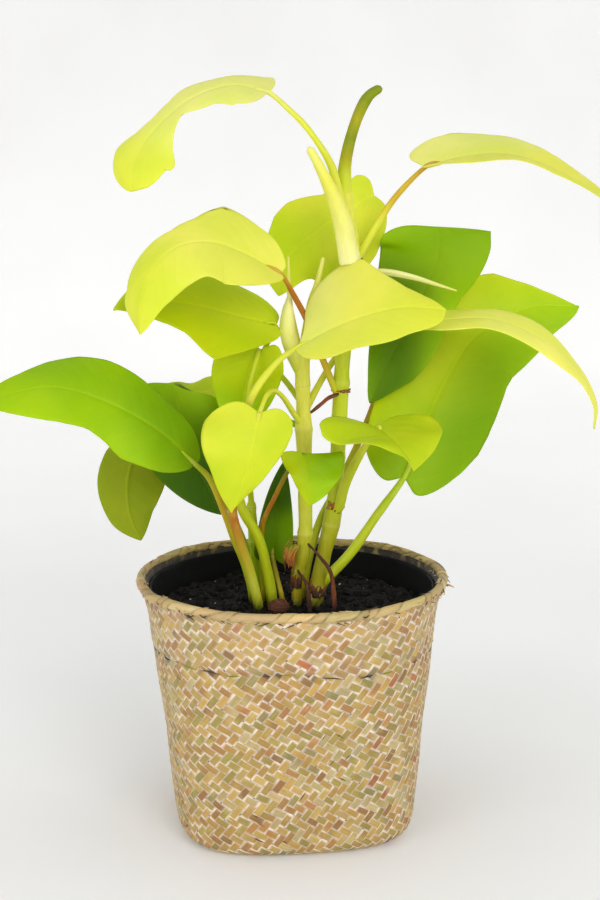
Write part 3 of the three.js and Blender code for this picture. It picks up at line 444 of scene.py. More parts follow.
# The plant, from the part's source, with finer widths and folds and a few ribs fitted closer to the photo.
# stalk and rib are lines, face what the blade's upper side faces along the rib, half the widest half
# widths of its two sides, and lobe how far the base reaches back beside the stalk. tones are the tones
# at places along the rib and across the blade, and stalk_tones those along the stalk.
LEAVES = {
    "leaf_top_left": dict(
        finish="leaf_pale", tones=((0.1, 0, "pale"), (0.5, 0, "pale"), (0.9, 0, "lime")),
        stalk_tones=("lemon", "lime", "lime", "pale"),
        holder="stem_tall", stalk=((29, -1, 378), (23, -3, 400), (10, -5, 420), (-2, -6, 432), (-13, -6, 441)),
        stalk_radii=(3.4, 2.6, 2, 1.7),
        rib=((-13, -6, 441), (-34, -8, 445), (-58, -10, 437), (-79, -14, 419), (-90, -20, 401),
            (-91, -24, 385)),
        face=((0, -0.2, 0.95), (-0.2, -0.3, 0.85), (-0.6, -0.8, 0)),
        half=(30, 26), lobe=(-3, 4), start=(0.1, 0.3), taper=(0.45, 0.6), round_base=(0.1, 0),
        fold=((-3, -9, -8, 2, 4, 5, 5, 5, 5, 5, 5), (14, 5)), curl=((-20, -20, -25, -35, -30), (-15, -30)),
        width=((1, 0.95, 0.87, 0.64, 0.56, 0.38, 0.56, 0.77, 1.1, 1.25, 1.6),
            (1.25, 1.1, 1, 0.88, 0.85, 0.72, 0.66, 0.76, 1.25, 1.4, 1.5)),
    ),
    "leaf_top_right": dict(
        finish="leaf_pale", tones=((0.1, -0.5, "pale"), (0.2, 0.6, "lemon"), (0.9, 0, "lemon")),
        stalk_tones=("lime", "lime", "lime", "gold", "gold", "rust"),
        holder="stem_tall", stalk=((37, 5, 341), (50, 2, 365), (62, -2, 383), (78, -6, 399)),
        stalk_radii=(3.2, 2.4, 1.9),
        rib=((78, -6, 399), (102, -9, 405), (127, -12, 406), (155, -16, 396), (177, -20, 383), (187, -22, 376)),
        face=((0, -0.1, 1), (0, -0.1, 1), (0.3, -0.2, 0.9)),
        half=(31, 28), lobe=(10, 3), start=(0.25, 0.12), fold=((26, 14), (8, 8, 6, 3, 2, 5, 9, 10, 8, 5, 5)),
        curl=((-10, -10), (-10, -15)),
        width=((1.15, 1.15, 1.13, 1.1, 1.02, 0.84, 0.76, 0.84, 1, 1, 1),
            (1, 1, 1, 1.05, 1.1, 1, 0.86, 0.9, 1, 1, 1)),
    ),
    "leaf_back_upper": dict(
        finish="leaf_yellow_green", tones=((0.2, 0, "lime"), (0.8, 0, "chartreuse")),
        stalk_tones=("yellow_green",),
        holder="stem_tall", stalk=((36, 8, 352), (42, 18, 350), (46, 30, 353), (46, 36, 364), (45, 34, 376)),
        stalk_radii=(2.4, 1.8, 1.6),
        rib=((50, 31, 382), (27, 30, 369), (8, 28, 355), (-5, 25, 340), (-8, 22, 322)),
        face=((-0.1, -0.8, 0.6), (-0.1, -0.9, 0.4), (-0.2, -0.9, 0.2)),
        half=(31, 25), lobe=(3, 3), round_base=(0.1, 0.1),
        width=((0.82, 1.0, 1.15, 1.2, 1.2, 1.25, 1.3, 1.35, 1.35, 1.3, 1.3),
            (1.1, 0.82, 0.73, 0.74, 0.94, 1.16, 1.25, 1.15, 1.05, 1, 1)),
    ),
    "leaf_back_dark": dict(
        finish="leaf_dark",
        tones=((0.05, -0.6, "grass"), (0.08, 0.6, "green"), (0.4, -0.8, "spring"), (0.42, 0.5, "deep"),
            (0.75, 0, "dark"), (0.88, 0.5, "grass")),
        stalk_tones=("olive", "chartreuse", "rust", "spring"),
        stalk=((8, 9, 109), (8, 9, 133), (9, 7, 154), (17, 10, 184), (27, 14, 203), (43, 21, 236),
            (62, 30, 285), (80, 30, 335), (88, 19, 350), (88, 13, 357)),
        stalk_radii=(2.6, 2.5, 2.3, 2.1, 2, 1.9),
        rib=((88, 10, 364), (86, 10, 343), (73, 8, 312), (58, 5, 283), (47, 2, 259)),
        face=((0.1, -0.8, 0.5), (0, -1, 0.1), (0, -1, 0.1)),
        half=(33, 26), lobe=(0.5, -0.5), start=(0.35, 0.45), taper=(0.8, 0.7), round_base=(0.01, 0.07),
        curl=((-20, -20), (-5, -15)),
        width=((1, 0.98, 0.83, 0.71, 0.7, 0.8, 0.92, 1.06, 1.2, 1.1, 1),
            (1.4, 1.36, 1.32, 1.26, 1.2, 1.12, 1.04, 0.97, 0.88, 0.77, 0.75)),
    ),
    "leaf_middle": dict(
        finish="leaf_lime",
        tones=((0.1, -0.5, "pale"), (0.5, -0.5, "lemon"), (0.4, 0.6, "lemon"), (0.9, 0, "lime")),
        stalk_tones=("chartreuse", "lime", "rust", "gold", "lime", "lime"),
        stalk=((-20, -8, 109), (-20, -8, 132), (-25, -13, 158), (-31, -20, 180), (-35, -26, 202),
            (-32, -34, 234), (-23, -40, 268), (-9, -39, 288), (4, -30, 297)),
        stalk_radii=(3.3, 3.2, 3, 2.8, 2.4, 2.2),
        rib=((4, -30, 297), (23, -38, 308), (42, -44, 316), (63, -48, 321), (87, -50, 320)),
        face=((-0.1, -0.65, 0.75), (-0.05, -0.65, 0.75), (0, -0.6, 0.8)),
        half=(47, 25), lobe=(-5, 2), start=(0.03, 0), taper=(1, 0.4), round_base=(0.06, 0.08),
        fold=((5, 5), (12, 8)), width=((0.75, 0.85, 1, 1.12, 1.12, 0.88, 0.74, 0.75, 1), (1, 1)),
    ),
    "leaf_right_long": dict(
        finish="leaf_pale",
        tones=((0.1, 0, "butter"), (0.4, -0.5, "butter"), (0.5, 0.5, "butter"), (0.9, 0, "lemon")),
        stalk_tones=("lime", "lemon"),
        holder="stem_left",
        stalk=((9, -3, 257), (22, 9, 279), (33, 12, 293), (43, 5, 301), (50, -7, 306), (62, -20, 309)),
        stalk_radii=(2.4, 1.9, 1.8),
        rib=((62, -20, 309), (89, -26, 312), (116, -32, 313), (142, -38, 303), (163, -42, 285), (173, -44, 266),
            (174, -44, 251)),
        face=((0, -0.03, 1), (0, -0.08, 1), (0.9, -0.3, 0.2)),
        half=(30, 26), lobe=(16, 16), round_base=(0.12, 0.12), fold=((8, 8), (7, 6, 5, 2, 1, 1, 3, 5, 7, 8, 5)),
        curl=((-10, -10), (-12, -15)), width=((1, 1, 1, 1, 1, 0.86, 0.69, 0.63, 0.68, 0.85, 1), (1, 1)),
    ),
    "leaf_right_large": dict(
        finish="leaf_green",
        tones=((0.05, 0, "green"), (0.3, 0.8, "grass"), (0.35, -0.7, "yellow_green"), (0.62, 0.8, "green"),
            (0.65, -0.5, "chartreuse"), (0.92, 0, "spring")),
        stalk_tones=("chartreuse", "chartreuse", "spring"),
        holder="stem_tall", stalk=((21, 0, 150), (36, -1, 167), (51, -3, 190), (68, -4, 215)),
        stalk_radii=(3.4, 3.1, 2.7),
        rib=((68, -4, 215), (79, 6, 240), (90, 15, 263), (111, 22, 296), (144, 26, 314), (176, 28, 315)),
        face=((0.1, -0.95, 0.1), (0.1, -0.95, 0.25), (0, -0.9, 0.5)),
        half=(38, 36), lobe=(8, 9), start=(0.03, 0.08), taper=(1, 0.65), round_base=(0.12, 0.21),
        fold=((8, 8), (5, 5)), curl=((-20, -20), (-20, -20)),
        width=((1.15, 0.94, 0.9, 0.96, 1.05, 1.25, 1.42, 0.92, 0.9),
            (1.08, 1.08, 1.13, 1.12, 1.06, 1.02, 1.06, 1.14, 1.2, 1.2, 1.1)),
    ),
    "leaf_left_upper": dict(
        finish="leaf_pale",
        tones=((0.2, 0.6, "wax"), (0.06, -0.7, "lemon"), (0.35, -0.6, "wax"), (0.9, 0, "lime")),
        stalk_tones=("chartreuse", "gold", "rust", "rust", "gold"),
        holder="stem_tall", stalk=((26, 1, 268), (19, -2, 285), (10, -4, 308), (1, -16, 326), (-6, -34, 339)),
        stalk_radii=(2.4, 2, 1.8),
        rib=((-6, -34, 339), (-23, -38, 349), (-43, -44, 357), (-61, -52, 356), (-75, -60, 345),
            (-82, -66, 328), (-83, -68, 308)),
        face=((0.1, -0.5, 0.85), (-0.2, -0.6, 0.8), (-0.6, -0.7, 0.3)),
        half=(33, 36), lobe=(2, 2), start=(0.02, 0.05), taper=(0.8, 0.9), fold=((18, -14), (14, -14)),
        curl=((-20, -20), (-6, -20)),
        width=((1, 1), (0.69, 0.81, 0.92, 1.05, 0.66, 0.55, 0.68, 0.82, 0.96, 1.6, 2)),
    ),
    "leaf_left_under": dict(
        finish="leaf_yellow_green", tones=((0.3, 0.5, "chartreuse"), (0.5, -0.6, "yellow_green")),
        stalk_tones=("chartreuse", "yellow_green", "chartreuse"),
        stalk=((-12, -1, 109), (-12, -1, 134), (-16, -5, 162), (-21, -8, 180), (-31, -9, 200), (-33, -2, 229),
            (-28, 5, 262), (-17, 5, 290), (-9, -6, 307)),
        stalk_radii=(3.4, 3.4, 3.2, 2.8, 2.2, 1.8),
        rib=((-9, -6, 307), (-31, -14, 313), (-55, -23, 320), (-80, -32, 323), (-101, -40, 319)),
        face=((0, -0.6, 0.8), (-0.1, -0.7, 0.7), (-0.2, -0.7, 0.7)),
        half=(42, 30), lobe=(3, 3), start=(0.05, 0.05), taper=(1.2, 0.8),
        width=((0.5, 0.52, 0.6, 0.73, 0.94, 0.95, 0.8, 0.79, 0.86, 0.95, 1), (1, 1)),
    ),
    "leaf_left_inner": dict(
        finish="leaf_yellow_green", tones=((0.3, 0, "yellow_green"), (0.8, 0, "spring")),
        stalk_tones=("chartreuse",),
        holder="stem_old",
        stalk=((-25, 7, 199), (-26, -4, 220), (-26, -15, 240), (-25, -21, 268), (-21, -19, 286),
            (-19, -12, 293)),
        stalk_radii=(1.9, 1.7, 1.5),
        rib=((-19, -12, 293), (-25, -12, 281), (-29, -9, 263), (-34, -6, 241)),
        face=((0, -0.9, 0.3), (0, -1, 0.1), (0, -1, 0)),
        half=(20, 19), lobe=(8, 8), fold=((8, 8), (8, 8)), width=((1, 1), (1.15, 1.15, 1.1, 1)),
    ),
    "leaf_back_left": dict(
        finish="leaf_yellow_green", tones=((0.3, 0, "chartreuse"),), stalk_tones=("chartreuse",),
        holder="stem_left", stalk=((4, 1, 262), (-10, 16, 277), (-24, 26, 280), (-37, 27, 270)),
        stalk_radii=(2, 1.7, 1.4),
        rib=((-37, 27, 270), (-51, 29, 263), (-65, 31, 262), (-80, 33, 266)),
        face=((0, -0.5, 0.85), (0, -0.5, 0.85), (0, -0.5, 0.85)),
        half=(14, 14), lobe=(4, 4),
    ),
    "leaf_front_heart": dict(
        finish="leaf_lime", tones=((0.2, 0.5, "lime"), (0.5, -0.6, "chartreuse"), (0.8, 0, "chartreuse")),
        stalk_tones=("lime", "lime"),
        holder="stem_left",
        stalk=((4, -7, 250), (0, -12, 257), (-5, -20, 266), (-10, -28, 271), (-14, -39, 270), (-18, -50, 261)),
        stalk_radii=(2, 1.7, 1.5),
        rib=((-18, -50, 261), (-21, -58, 247), (-26, -61, 227), (-34, -58, 205)),
        face=((-0.1, -0.9, 0.4), (-0.1, -0.98, 0.1), (-0.1, -1, -0.1)),
        half=(25, 31), lobe=(5, 6), taper=(1.4, 0.9), fold=((8, 8), (8, 8)), curl=((-20, -20), (-20, -20)),
        width=((0.88, 0.81, 0.77, 0.78, 0.78), (1, 1)),
    ),
    "leaf_left_large": dict(
        finish="leaf_green",
        tones=((0.12, 0.3, "grass"), (0.5, -0.5, "spring"), (0.6, 0.6, "green"), (0.9, 0, "spring")),
        stalk_tones=("olive", "chartreuse", "gold", "spring"),
        stalk=((-24, 4, 109), (-24, 4, 134), (-28, 2, 156), (-35, -5, 177), (-47, -19, 214), (-57, -28, 228)),
        stalk_radii=(2.7, 2.6, 2.4, 2.2),
        rib=((-57, -28, 228), (-76, -36, 248), (-104, -44, 266), (-134, -50, 276), (-162, -54, 272),
            (-179, -56, 265)),
        face=((-0.1, -0.75, 0.65), (-0.1, -0.75, 0.65), (-0.1, -0.6, 0.8)),
        half=(26, 24), lobe=(0, 2), start=(0.02, 0.02), taper=(0.8, 0.4), ripple=2.5,
        width=((1, 1, 1, 1.02, 0.87, 0.85, 1.06, 1.2, 1.2, 1.2, 1),
            (1, 1, 1, 1, 1.03, 1.08, 1.08, 0.92, 0.64, 0.52, 0.5)),
    ),
    "leaf_left_dark": dict(
        finish="leaf_dark", tones=((0, 0, "spring"), (0.3, 0, "deep"), (0.75, 0, "dark")),
        stalk_tones=("spring", "deep"),
        holder="stem_left", stalk=((5, 0, 245), (-18, 17, 250), (-41, 19, 255), (-60, 14, 263), (-70, 6, 270)),
        stalk_radii=(2.2, 1.8, 1.6),
        rib=((-72, 2, 271), (-67, 4, 247), (-58, 4, 220), (-43, 3, 190)),
        face=((0, -1, 0.3), (0, -1, 0.1), (0, -1, 0)),
        half=(26, 32), lobe=(-8, 4), start=(0.2, 0.25),
    ),
    "leaf_low_left": dict(
        finish="leaf_yellow_green", tones=((0.3, 0, "moss"), (0.9, 0, "moss")),
        stalk_tones=("spring", "green", "moss"),
        stalk=((-14, 17, 109), (-14, 17, 134), (-26, 16, 161), (-43, 16, 199), (-65, 16, 225), (-85, 15, 234),
            (-96, 12, 229)),
        stalk_radii=(2.2, 2, 1.8, 1.6),
        rib=((-96, 12, 229), (-101, 10, 209), (-100, 8, 190), (-93, 6, 173)),
        face=((0, 1, -0.1), (0, 1, 0.1), (0, 1, 0.1)),
        half=(22, 24), lobe=(8, 8), fold=((8, 8), (8, 8)), curl=((15, 15), (15, 15)),
        width=((0.8, 0.86, 0.95, 1, 1), (1, 1)),
    ),
    "leaf_front_small": dict(
        finish="leaf_green",
        tones=((0.2, 0.7, "yellow_green"), (0.25, -0.6, "green"), (0.8, 0.4, "yellow_green"),
            (0.75, -0.5, "spring")),
        stalk_tones=("gold", "olive", "rust", "green"),
        stalk=((-17, 4, 109), (-17, 4, 134), (-18, 1, 160), (-18, -3, 184), (-10, -15, 205), (-2, -27, 223),
            (7, -34, 235)),
        stalk_radii=(1.8, 1.8, 1.7, 1.4),
        rib=((7, -34, 235), (9, -39, 226), (10, -43, 216), (10, -45, 206)),
        face=((0.1, -0.8, 0.6), (0.1, -0.9, 0.4), (0, -1, 0.2)),
        half=(21, 13), lobe=(-2, 2.5), start=(0.3, 0.3), round_base=(0.03, 0),
        width=((1.12, 1.1, 1.02, 1), (1.1, 0.86, 0.74, 0.75)),
    ),
    "leaf_front_right": dict(
        finish="leaf_lime", tones=((0.2, 0, "chartreuse"), (0.9, 0, "chartreuse")),
        stalk_tones=("chartreuse", "lime"),
        holder="stem_tall", stalk=((29, -1, 197), (32, -8, 211), (40, -20, 231), (50, -34, 250)),
        stalk_radii=(3.6, 3.2, 2.4),
        rib=((50, -34, 250), (57, -52, 247), (63, -68, 242), (68, -80, 234)),
        face=((0, -0.4, 0.9), (0, -0.4, 0.9), (0, -0.4, 0.9)),
        half=(33, 34), lobe=(8, 13), taper=(0.9, 2.2),
        fold=((10, 5), (24, 22, 14, 8, 8, 14, 20, 20, 20, 20, 20)),
        width=((1, 1), (1.12, 1.14, 1.16, 1.1, 1, 1)),
    ),
    "leaf_inner_upright": dict(
        finish="leaf_dark", tones=((0.1, 0.6, "grass"), (0.1, -0.4, "deep"), (0.8, 0, "dark")),
        stalk_tones=("gold", "olive"),
        stalk=((-5.5, -1, 109), (-5.5, -1, 134), (-9, 2, 150), (-12, 7, 163)), stalk_radii=(1.8, 1.7, 1.5),
        rib=((-12, 7, 163), (-10, 8, 180), (-8, 8, 200), (-5, 7, 222)),
        face=((0, -1, 0), (0, -1, 0), (0, -1, 0)),
        half=(13, 13), lobe=(4, 4), start=(0.5, 0.5), round_base=(0.08, 0.08), fold=((15, 15), (15, 15)),
        curl=((20, 20), (20, 20)),
    ),
}
# knots are the rings that old leaves left behind: place, reach and height. scars are brown remains of
# sheaths: from which height to which, over what part of a turn in radians, the side faced and tones.
STEMS = {
    "stem_tall": dict(
        slot="stem_green",
        points=((14, -1, 109), (14, -1, 132), (19, 1, 162), (26, 4, 196), (29, 4, 253), (31, 4, 290),
            (35, 4, 321), (36, 4, 346), (31, 4, 387)),
        radii=(4.4, 4.8, 5, 4.6, 5.4, 4.4, 4.5, 4.7, 4.9, 4.6, 4.4, 4.6, 5, 4.8, 4.5),
        tones=("olive", "olive", "chartreuse", "chartreuse", "lime", "lemon"),
        knots=((0.13, 3, 0.4), (0.27, 2, 0.3), (0.42, 2, 0.4), (0.585, 2.5, 0.7), (0.72, 2, 0.3),
            (0.84, 2, 0.25)),
        scars=((265, 268.5, 4.6, (-0.3, -1, 0), ("brown", "rust", "soot")),
            (192, 200, 2.2, (0.2, -1, 0), ("brown", "rust", "brown")),
            (138, 149, 3.2, (-0.4, -1, 0), ("soot", "brown", "rust")),
            (343, 346, 4.0, (-0.5, -1, 0), ("rust", "brown"))),
    ),
    "stem_left": dict(
        slot="stem_lime",
        points=((3, -1, 109), (3, -1, 133), (4, -3, 154), (8, -4, 176), (8, -4, 207), (7, -4, 255),
            (6, -4, 297)),
        radii=(3, 3.1, 3.4, 4.6, 4.1, 4.2, 4.3, 5, 4.3, 4.6, 4.9),
        tones=("gold", "olive", "lime", "lemon", "lemon"),
        knots=((0.25, 2, 0.3), (0.38, 2.5, 0.6), (0.55, 2, 0.2), (0.72, 2, 0.5), (0.86, 2, 0.3),
            (0.97, 2, 0.2)),
        scars=((142, 158, 2.6, (-0.8, -1, 0), ("soot", "brown", "rust")),),
    ),
    "stem_old": dict(
        slot="stem_lime", points=((-21, 10, 109), (-21, 10, 133), (-24, 9, 180), (-25, 8, 198)),
        radii=(2.6, 2.7, 2.6, 3.3, 2.4),
        tones=("olive", "spring", "yellow_green"), knots=((0.35, 2.5, 0.5), (0.7, 2.5, 0.6), (0.95, 2.5, 0.5)),
        scars=(),
    ),
}
# Rolled leaves, sheaths and roots: material slot, tones, radii and points
SPEARS = {
    "new_leaf_top": (
        "leaf_yellow_green", ("lime", "chartreuse", "olive", "moss", "olive", "moss", "moss"),
        (5.1, 4.1, 3.5, 3.2, 3.1, 3.1, 2.4),
        ((30.6, 4.2, 381.5), (32, 2, 403), (37, 0, 423), (44, -2, 438), (52, -4, 444)),
    ),
    "sheath_top": (
        "sheath_pale", ("cream", "pale", "lemon", "pale"), (6.4, 5.6, 4.6, 3.2, 2.2),
        ((35, -1, 344), (29, -8, 371), (19, -12, 394), (10, -16, 410)),
    ),
    "sheath_right": (
        "sheath_pale", ("pale", "cream", "pale"), (2.2, 2.2, 1.9, 1.2, 0.4),
        ((36, -2, 336), (54, -6, 338), (70, -9, 335.5), (84, -11, 331.5), (97, -12, 327.5)),
    ),
    "sheath_middle": (
        "sheath_pale", ("lime", "pale", "cream"), (3.2, 4.6, 4.9, 4.4, 3.3, 1.0),
        ((5, -4.5, 279), (1.5, -6.5, 291), (-2, -9, 304), (-2, -9, 315), (-1, -8, 326)),
    ),
    "young_spear_left": (
        "sheath_pale", ("lime", "lemon", "pale"), (1.6, 1.3, 0.7), ((4, -3, 296), (-1, 2, 321), (-2, 2, 347)),
    ),
    "young_spear_right": (
        "sheath_pale", ("lime", "lemon", "pale"), (2, 1.9, 1.7, 1.2),
        ((7, -1, 296), (11, 5, 318), (15, 7, 330), (19, 8, 346)),
    ),
    "dead_sheath": (
        "root_brown", ("olive", "rust", "brown"), (4.4, 3.6, 3.2), ((3, -8, 176), (-1, -9, 168), (-1, -9, 156)),
    ),
    "aerial_root_upper": (
        "root_brown", ("brown", "wine", "brown"), (1.0, 1.3, 1.2, 1.1, 0.5),
        ((28, 0, 265), (22, -4, 263), (18, -6, 260), (11, -5, 254)),
    ),
    "aerial_root_long": (
        "root_brown", ("brown", "brown", "wine", "brown"), (0.8, 1.3, 1.2, 1.3, 1.1, 1.2),
        ((9, -7, 175), (17, -11, 167), (24, -12, 156), (26, -12, 134), (26, -12, 124)),
    ),
    "aerial_root_short": (
        "root_brown", ("brown", "brown"), (0.5, 1.2, 1.1, 1.2),
        ((3, -5, 158), (5, -10, 156), (9, -13, 150), (11, -14, 134), (11, -14, 126)),
    ),
}

# What a leaf has where its table says nothing else. width widens the two sides of the blade along the
# rib, fold and curl are the angles at the rib and from there to the edge, and round_base is how far up
# the rib the two corners of the base start.
PLAIN_LEAF = dict(
    start=(0.12, 0.12), taper=(0.8, 0.8), round_base=(0.17, 0.17), ripple=1.2,
    fold=((5, 5), (5, 5)), curl=((-15, -15), (-15, -15)), width=((1, 1), (1, 1)),
)
WIDTH_RISE = 0.45
TIP_HALF_WIDTH = 0.5
LOBE_TURNS = 0.375
RIPPLES = 2.2
RIPPLE_SHIFT = 0.3
BLADE = 0.9
BLADE_HALF = 0.38
RIB_SUNK, RIB_PROUD = 0.35, 0.75
VEIN_SPACING = 9.5
VEIN_SLANT = 0.85
QUILT = 0.12
CLASP = 7
SMALL_LEAF = 75


def width_profile(t, start, taper):
    def shape(x):
        return (x + start) ** WIDTH_RISE * np.maximum(1 - x, 0) ** taper

    return shape(t) / shape((WIDTH_RISE - taper * start) / (WIDTH_RISE + taper))


def blade_surface(leaf, t, side):
    """Middle surface of a blade at arrays of places t along its rib and side across it, with the
    distance from the rib in millimetres and the rib's length."""
    centre, along, length = sample_curve(leaf["rib"], 240)
    fine = np.linspace(0, 1, 241)
    face = interp_rows(fine, np.linspace(0, 1, len(leaf["face"])), np.array(leaf["face"], float))
    up = unit(face - np.sum(face * along, axis=1, keepdims=True) * along)
    right = np.cross(along, up)
    which = (side >= 0).astype(int)
    reach = np.abs(side)

    def pick(make):
        return np.where(which == 0, make(0), make(1))

    width = pick(lambda k: along_values(leaf["width"][k], t) * np.maximum(
        leaf["half"][k] * width_profile(t, leaf["start"][k], leaf["taper"][k]), TIP_HALF_WIDTH))
    fold = np.radians(pick(lambda k: along_values(leaf["fold"][k], t)))
    curl = np.radians(pick(lambda k: along_values(leaf["curl"][k], t)))
    out = width / curl * (np.sin(fold + curl * reach) - np.sin(fold))
    lift = width / curl * (np.cos(fold) - np.cos(fold + curl * reach))
    lobe = pick(lambda k: np.full_like(t, leaf["lobe"][k]))
    back = lobe * np.sin(2 * np.pi * LOBE_TURNS * reach) * (1 - t) ** 3
    wave = np.sin(2 * np.pi * (RIPPLES * t + RIPPLE_SHIFT * which))
    waved = leaf["ripple"] * wave * reach**2 * np.minimum(1, 4 * (1 - t))
    points = interp_rows(t, fine, centre) + interp_rows(t, fine, right) * (np.sign(side) * out)[..., None]
    points = points + interp_rows(t, fine, up) * (lift + waved)[..., None]
    return points - interp_rows(t, fine, along) * back[..., None], width * reach, length


def blade(mesh, leaf, rows, columns):
    """Closed blade with a rounded base, sunken veins above and raised ones below."""
    s = np.linspace(-1, 1, columns + 1)
    s = np.sign(s) * np.abs(s) ** 1.2
    t, side = np.meshgrid(np.linspace(0, 1, rows + 1) ** 1.05, s, indexing="ij")
    corner = np.clip((np.abs(side) - 0.35) / 0.65, 0, 1)
    t = t + (1 - t) * np.where(side < 0, *leaf["round_base"]) * (1 - np.sqrt(1 - corner**2))
    middle, from_rib, length = blade_surface(leaf, t, side)
    normal = grid_normals(middle)
    slant = VEIN_SLANT * np.mean(leaf["half"]) / length
    phase = (t - slant * np.abs(side) ** 1.3) * length / VEIN_SPACING
    rib_radius = np.interp(t, [0, 1], [1.35, 0.4]) * min(1.0, length / 100 + 0.25)
    near = np.exp(-((from_rib / rib_radius) ** 2))
    pillow = np.abs(2 * (phase - np.floor(phase + 0.5))) ** 0.7
    shown = np.clip(np.abs(side) * 5, 0, 1) * (1 - np.abs(side) ** 5) * np.clip((1 - t) * 6, 0, 1)
    middle = middle + normal * (QUILT * (pillow - 0.5) * shown)[..., None]
    thick = BLADE_HALF * (1 - 0.6 * np.abs(side) ** 4)
    above = middle + normal * (thick - RIB_SUNK * near * rib_radius)[..., None]
    below = middle - normal * (thick + RIB_PROUD * near * rib_radius)[..., None]
    points, faces = close_grid(above, below)
    color, total = np.zeros((*t.shape, 3)), np.zeros_like(t)
    for place, across, name in leaf["tones"]:
        weight = np.exp(-((t - place) ** 2) / 0.06 - (side - across) ** 2 / 0.5) + 1e-4
        color += weight[..., None] * tone(name)
        total += weight

    def both(values):
        return np.concatenate([values, values]).reshape(2 * t.size, -1)

    mesh.add(points, faces, tone=with_alpha(both(color / total[..., None])), phase=both(phase),
             ribline=both(from_rib / rib_radius), under=np.repeat([0.0, 1.0], t.size))


def build_leaf(name):
    leaf = {**PLAIN_LEAF, **LEAVES[name]}
    mesh = Mesh()
    centre, _, length = sample_curve(leaf["rib"], 12)
    blade(mesh, leaf, *((60, 40) if length < SMALL_LEAF else (84, 52)))
    end = centre[1] - unit(np.array(leaf["face"][0], float)) * BLADE / 2
    points = [*leaf["stalk"], tuple(end)]
    if "holder" in leaf:
        stem_line = sample_curve(STEMS[leaf["holder"]]["points"], 200)[0]
        foot = stem_line[np.argmin(np.abs(stem_line[:, 2] - points[0][2] + CLASP))]
        points = [tuple(foot), *points]
    tube(mesh, points, (*leaf["stalk_radii"], 1.0), 64, 16, leaf["stalk_tones"], slot=1, groove=0.12,
         knots=((0.93, 5, 0.25),), seed=sum(map(ord, name)), blunt=(0, 0.9))
    mesh.make(name + "_fine", [LEAF[leaf["finish"]], STALK], name, leaf["finish"])


for leaf_name in LEAVES:
    build_leaf(leaf_name)


def torn_sheet(mesh, points, radii, arc, facing, tones, seed):
    """Papery remains of a sheath: part of a tube round a line, torn at both ends."""
    rows, columns = 26, 30
    centre, _, length = sample_curve(points, 60)
    wave = np.random.default_rng(seed).random(6) * 6.28
    t = np.linspace(0, 1, rows + 1)[:, None]
    angle = np.linspace(-arc / 2, arc / 2, columns + 1)[None, :]
    low = 0.16 + 0.10 * np.sin(2.3 * angle + wave[0]) + 0.06 * np.sin(6.1 * angle + wave[1])
    high = 0.82 + 0.12 * np.sin(1.9 * angle + wave[2]) + 0.08 * np.sin(5.3 * angle + wave[3])
    high = high + 0.05 * np.sin(13.7 * angle + wave[4])
    place = low + (high - low) * t
    way = unit(centre[-1] - centre[0])
    front = unit(np.array(facing, float) - np.dot(facing, way) * way)
    beside = np.cross(way, front)
    radius = along_values(radii, place)
    uneven = 0.10 * np.sin(5 * angle + 6 * place + wave[4]) + 0.07 * np.sin(13 * angle - 9 * place + wave[5])
    radius = radius * (1 + uneven)
    grid = interp_rows(place, np.linspace(0, 1, 61), centre)
    grid = grid + (np.cos(angle) * radius)[..., None] * front + (np.sin(angle) * radius)[..., None] * beside
    normal = grid_normals(grid)
    shell, faces = close_grid(grid + 0.14 * normal, grid - 0.14 * normal)
    tint = tone_ramp(tones, place).reshape(-1, 3)
    lay = np.stack([3 * angle + 0 * place, 0 * place, place * length / 9], axis=-1).reshape(-1, 3)
    mesh.add(shell, faces, tone=with_alpha(np.concatenate([tint, tint])), lay=np.concatenate([lay, lay]))


for name, stem in STEMS.items():
    mesh = Mesh()
    line, girth = tube(mesh, stem["points"], stem["radii"], 220, 28, stem["tones"], knots=stem["knots"],
                       seed=len(name))
    mesh.make(name + "_fine", [STEM], name, stem["slot"])
    scars = Mesh()
    for low, high, arc, facing, tones in stem["scars"]:
        ends = [np.argmin(np.abs(line[:, 2] - z)) for z in (low, (low + high) / 2, high)]
        radii = [girth[k] + more for k, more in zip(ends, (0.3, 0.55, 0.3))]
        torn_sheet(scars, [tuple(line[k]) for k in ends], radii, arc, facing, tones, int(low))
    if stem["scars"]:
        scars.make(name + "_scars", [ROOT], name, "root_brown")

for name, (slot, tones, radii, points) in SPEARS.items():
    dry = slot == "root_brown"
    mesh = Mesh()
    if name == "dead_sheath":
        torn_sheet(mesh, points, radii, 3.4, (-0.7, -1, 0.1), tones, 3)
    else:
        tube(mesh, points, radii, 60, 20, tones, seed=len(name), rough=0.22 if dry else 0.02, blunt=(0, 0.9),
             seam=0 if dry else 0.22)
    mesh.make(name + "_fine", [ROOT if dry else SHEATH], name, slot)


# The basket, from the outline of the part's source, as heights and radii

BASKET_PROFILE = (
    (0, 61), (1.6, 66.5), (5, 70.6), (11, 72.8), (22, 74.1), (34, 75.4), (47, 76.8), (60, 78), (73, 79.6),
    (86, 81.5), (99, 83.2), (111, 84.7), (122, 86), (132, 87.2), (140, 88.8), (149, 91), (151.6, 91.7),
)
BASKET_TURN = math.radians(6)
BASKET_ROUND_AT = 150
BASKET_SQUARENESS = 1.3
WALL_POINTS, _, WALL_RUN = sample_curve([(r, z, 0) for z, r in BASKET_PROFILE], 300)
WALL_RUNS = np.linspace(0, WALL_RUN, 301)
WALL_SLOPE = unit(np.gradient(WALL_POINTS[:, :2], axis=0))
REF_RADIUS = 82
GIRTH = 2 * math.pi * REF_RADIUS
